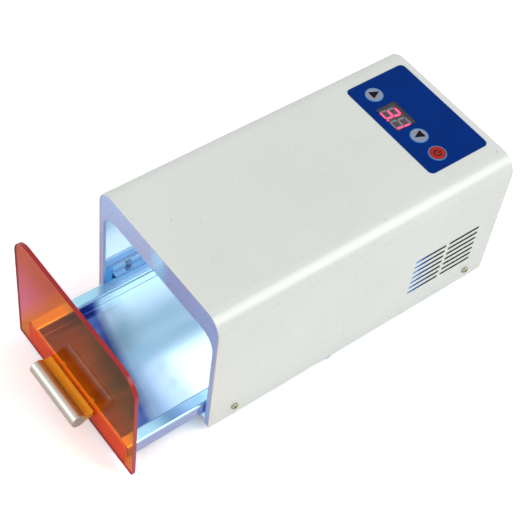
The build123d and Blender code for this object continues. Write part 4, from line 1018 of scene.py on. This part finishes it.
def build_guard():
    """The finger guard: round rings, each a small circle carried round the fan's axis, with two cross wires and
    four eyes."""
    low, high = box_of("fan_guard")
    middle = (low + high) / 2
    wire, eye, eye_hole, wire_inset = 0.0008, 0.0042, 0.0021, 0.0032
    reach = (high[0] - low[0]) / 2 - eye
    circle = arc((0, 0), wire, 0, 330, 11)
    axis = middle * (1, 0, 1)
    parts = [
        turned(circle + (radius, high[1] - 2 * wire), axis, 1, 72, True) for radius in (0.010, 0.0175, 0.025)
    ]
    for turn in (QUARTER / 2, 3 * QUARTER / 2):
        heading = np.array([math.cos(turn), 0, math.sin(turn)])
        aside = np.array([-heading[2], 0, heading[0]])
        span = math.hypot(reach, reach) - wire_inset
        ends = middle + np.outer((-span, span), heading) - (0, wire / 2, 0)
        ring = circle[:, :1] * aside + circle[:, 1:] * np.array([0, 1, 0])
        parts.append(shell(ends[:, None, :] + ring[None]))
    section = corners_of((eye, high[1]), (eye_hole, low[1]))
    for i, j in ((-1, -1), (-1, 1), (1, -1), (1, 1)):
        parts.append(turned(section, axis + (i * reach, 0, j * reach), 1, 40, True))
    install(soften(make_object("fan_guard_wires", parts), 0.0002, 60), "fan_guard")


def build_rest():
    """Every other piece: a merged copy of its solid with softened edges and its own finish."""
    done = {node for piece in bpy.data.objects for node in piece.get("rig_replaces", [])}
    for node, cad in frame["nodes"].items():
        if node in done:
            continue
        mesh = cad.data.copy()
        mesh.name = node + "_finished"
        piece = add_object(mesh.name, clean_mesh(mesh, 1e-6, True))
        soften(piece, EDGE_WIDTHS.get(node, FINE_EDGE))
        install(piece, node, finish_for("rivets") if node == "rail_rivets" else None)


# ---- Stage
FLOOR_REACH = 1.8
# Colour and strength of the light from all round, and of what the camera sees
BACKGROUNDS = (((0.97, 0.98, 1.0), 0.45), (WHITE, 1.0))
AIM = (0.0, 0.0, 0.06)
# Name, place, diameter in metres, power in watts, colour
LIGHTS = (
    ("key_light", (1.08, 0.83, 1.4), 1.4, 13.0, (1.0, 1.0, 0.99)),
    ("side_light", (1.35, 0.75, 1.1), 1.2, 2.0, (1.0, 0.97, 0.9)),
    ("top_light", (-0.3, 0.3, 1.9), 1.2, 1.0, WHITE),
    ("front_right", (0.35, -1.4, 0.75), 1.3, 6.0, WHITE),
    ("front_left", (-0.75, -1.35, 0.85), 0.8, 4.5, WHITE),
)
CAMERA_PLACE = (0.438745, -0.424103, 0.824307)
# The camera's right, up and back directions, from the edges of the case in the photo
CAMERA_AXES = (0.601014, 0.793607, 0.09471), (-0.659977, 0.425958, 0.618862), (0.450791, -0.434451, 0.779769)
LENS, SENSOR = 93.471, 36.0


def build_stage():
    """The floor, the light and the camera."""
    scene = bpy.context.scene
    scene.view_settings.view_transform = "Standard"
    build_floor()
    scene.world = bpy.data.worlds.new("studio")
    build_world(scene.world)
    for name, place, size, power, tone in LIGHTS:
        light = bpy.data.lights.new(name, "AREA")
        light.color = tone
        light.shape = "DISK"
        light.size = size
        light.energy = power
        back = np.array(place) - AIM
        back /= np.linalg.norm(back)
        right = np.cross((0, 0, 1), back)
        right /= np.linalg.norm(right)
        add_object(name, light).matrix_world = frame_matrix(right, np.cross(back, right), back, place)
    camera = bpy.data.cameras.new("camera")
    camera.lens = LENS
    camera.sensor_width = SENSOR
    camera.clip_start = 0.01
    scene.camera = add_object("camera", camera)
    scene.camera.matrix_world = frame_matrix(*CAMERA_AXES, CAMERA_PLACE)


def build_floor():
    """A plain sheet whose tone is paler for the camera and in reflections, and which keeps the object's shadow."""
    corners = corners_of((-FLOOR_REACH, -FLOOR_REACH), (FLOOR_REACH, FLOOR_REACH))
    mesh = bpy.data.meshes.new("floor")
    mesh.from_pydata([(x, y, 0.0) for x, y in corners], [], [(0, 1, 2, 3)])
    finish = Finish("floor_pale")
    shade = finish.drift(finish.noise(3.0, 1.0), WHITE, 0.93, 0.95)
    path = finish.add("ShaderNodeLightPath")
    mirrored = finish.blend(finish.seen_directly(), shade, (1.05, 1.05, 1.05))
    shown = finish.blend(path.outputs["Is Camera Ray"], mirrored, (1.7, 1.7, 1.7))
    finish.set(Base_Color=shown, Roughness=0.9, Specular_IOR_Level=0.1)
    mesh.materials.append(finish.material)
    add_object("floor", mesh)


def build_world(world):
    """Soft light from all round, and plain white where the background is seen."""
    shading = Shading(world)
    mix = shading.add("ShaderNodeMixShader")
    shading.join(shading.seen_directly(), mix.inputs["Fac"])
    for index, (tone, strength) in enumerate(BACKGROUNDS):
        background = shading.add("ShaderNodeBackground")
        shading.join(tone, background.inputs["Color"])
        shading.join(strength, background.inputs["Strength"])
        shading.join(background.outputs["Background"], mix.inputs[index + 1])
    shading.join(mix.outputs["Shader"], shading.add("ShaderNodeOutputWorld").inputs["Surface"])


def frame_matrix(right, up, back, place):
    """Matrix with these three directions as its columns, at this place."""
    matrix = np.eye(4)
    matrix[:3, :4] = np.stack([right, up, back, place], -1)
    return Matrix(matrix.tolist())


# ---- Operators, panel and registration
def piece_operator(idname, label, text, build):
    """An operator class that builds one piece or one group of like pieces."""

    def execute(self, context):
        build()
        return {"FINISHED"}

    names = {"bl_idname": idname, "bl_label": label, "__doc__": text, "bl_options": {"REGISTER"}, "execute": execute}
    return type("CURING_OT_" + idname.split(".")[1], (bpy.types.Operator,), names)


OPERATORS = [
    piece_operator("curing.cover", "Cover", "Build the painted cover with its slots and holes", build_cover),
    piece_operator("curing.tray", "Tray", "Build the folded tray and its front plate", build_tray),
    piece_operator("curing.door", "Door", "Build the amber door", build_door),
    piece_operator("curing.handle", "Handle", "Build the bar pull", build_handle),
    piece_operator("curing.foil", "Foil and window", "Build the front foil and the display window", build_foil),
    piece_operator("curing.keys", "Keys", "Build the three keys and their marks", build_keys),
    piece_operator("curing.feet", "Feet", "Build the four rubber feet", build_feet),
    piece_operator("curing.lamps", "Lamps", "Build the three twin-tube lamps", build_lamps),
    piece_operator("curing.guard", "Finger guard", "Build the wire guard behind the fan", build_guard),
    piece_operator("curing.rest", "Sheet, screws and fittings", "Finish every piece that keeps its solid's shape",
                   build_rest),
    piece_operator("curing.stage", "Stage", "Build the floor, the light and the camera", build_stage),
]
GROUPS = {
    "curing_case": CuringCase,
    "curing_drawer": CuringDrawer,
    "curing_panel": CuringPanel,
    "curing_colours": CuringColours,
}


class CURING_PT_pieces(bpy.types.Panel):
    """The sidebar panel with the sizes, the colours and a button for each group of pieces."""

    bl_idname = "CURING_PT_pieces"
    bl_label = "Curing unit"
    bl_space_type = "VIEW_3D"
    bl_region_type = "UI"
    bl_category = "Curing unit"

    def draw(self, context):
        for operator in OPERATORS:
            self.layout.operator(operator.bl_idname)
        for name, group in GROUPS.items():
            box = self.layout.box()
            for size in group.__annotations__:
                box.prop(getattr(context.scene, name), size)


CLASSES = [*GROUPS.values(), *OPERATORS, CURING_PT_pieces]


def register():
    """Register the classes and hang the property groups on the scene."""
    for item in CLASSES:
        bpy.utils.register_class(item)
    for name, group in GROUPS.items():
        setattr(bpy.types.Scene, name, PointerProperty(type=group))


def unregister():
    """Undo register()."""
    for name in GROUPS:
        delattr(bpy.types.Scene, name)
    for item in reversed(CLASSES):
        bpy.utils.unregister_class(item)


def main():
    """Build everything and write the two boxes."""
    register()
    for operator in OPERATORS:
        group, name = operator.bl_idname.split(".")
        getattr(getattr(bpy.ops, group), name)()
    bpy.context.view_layer.update()


if __name__ == "__main__":
    main()
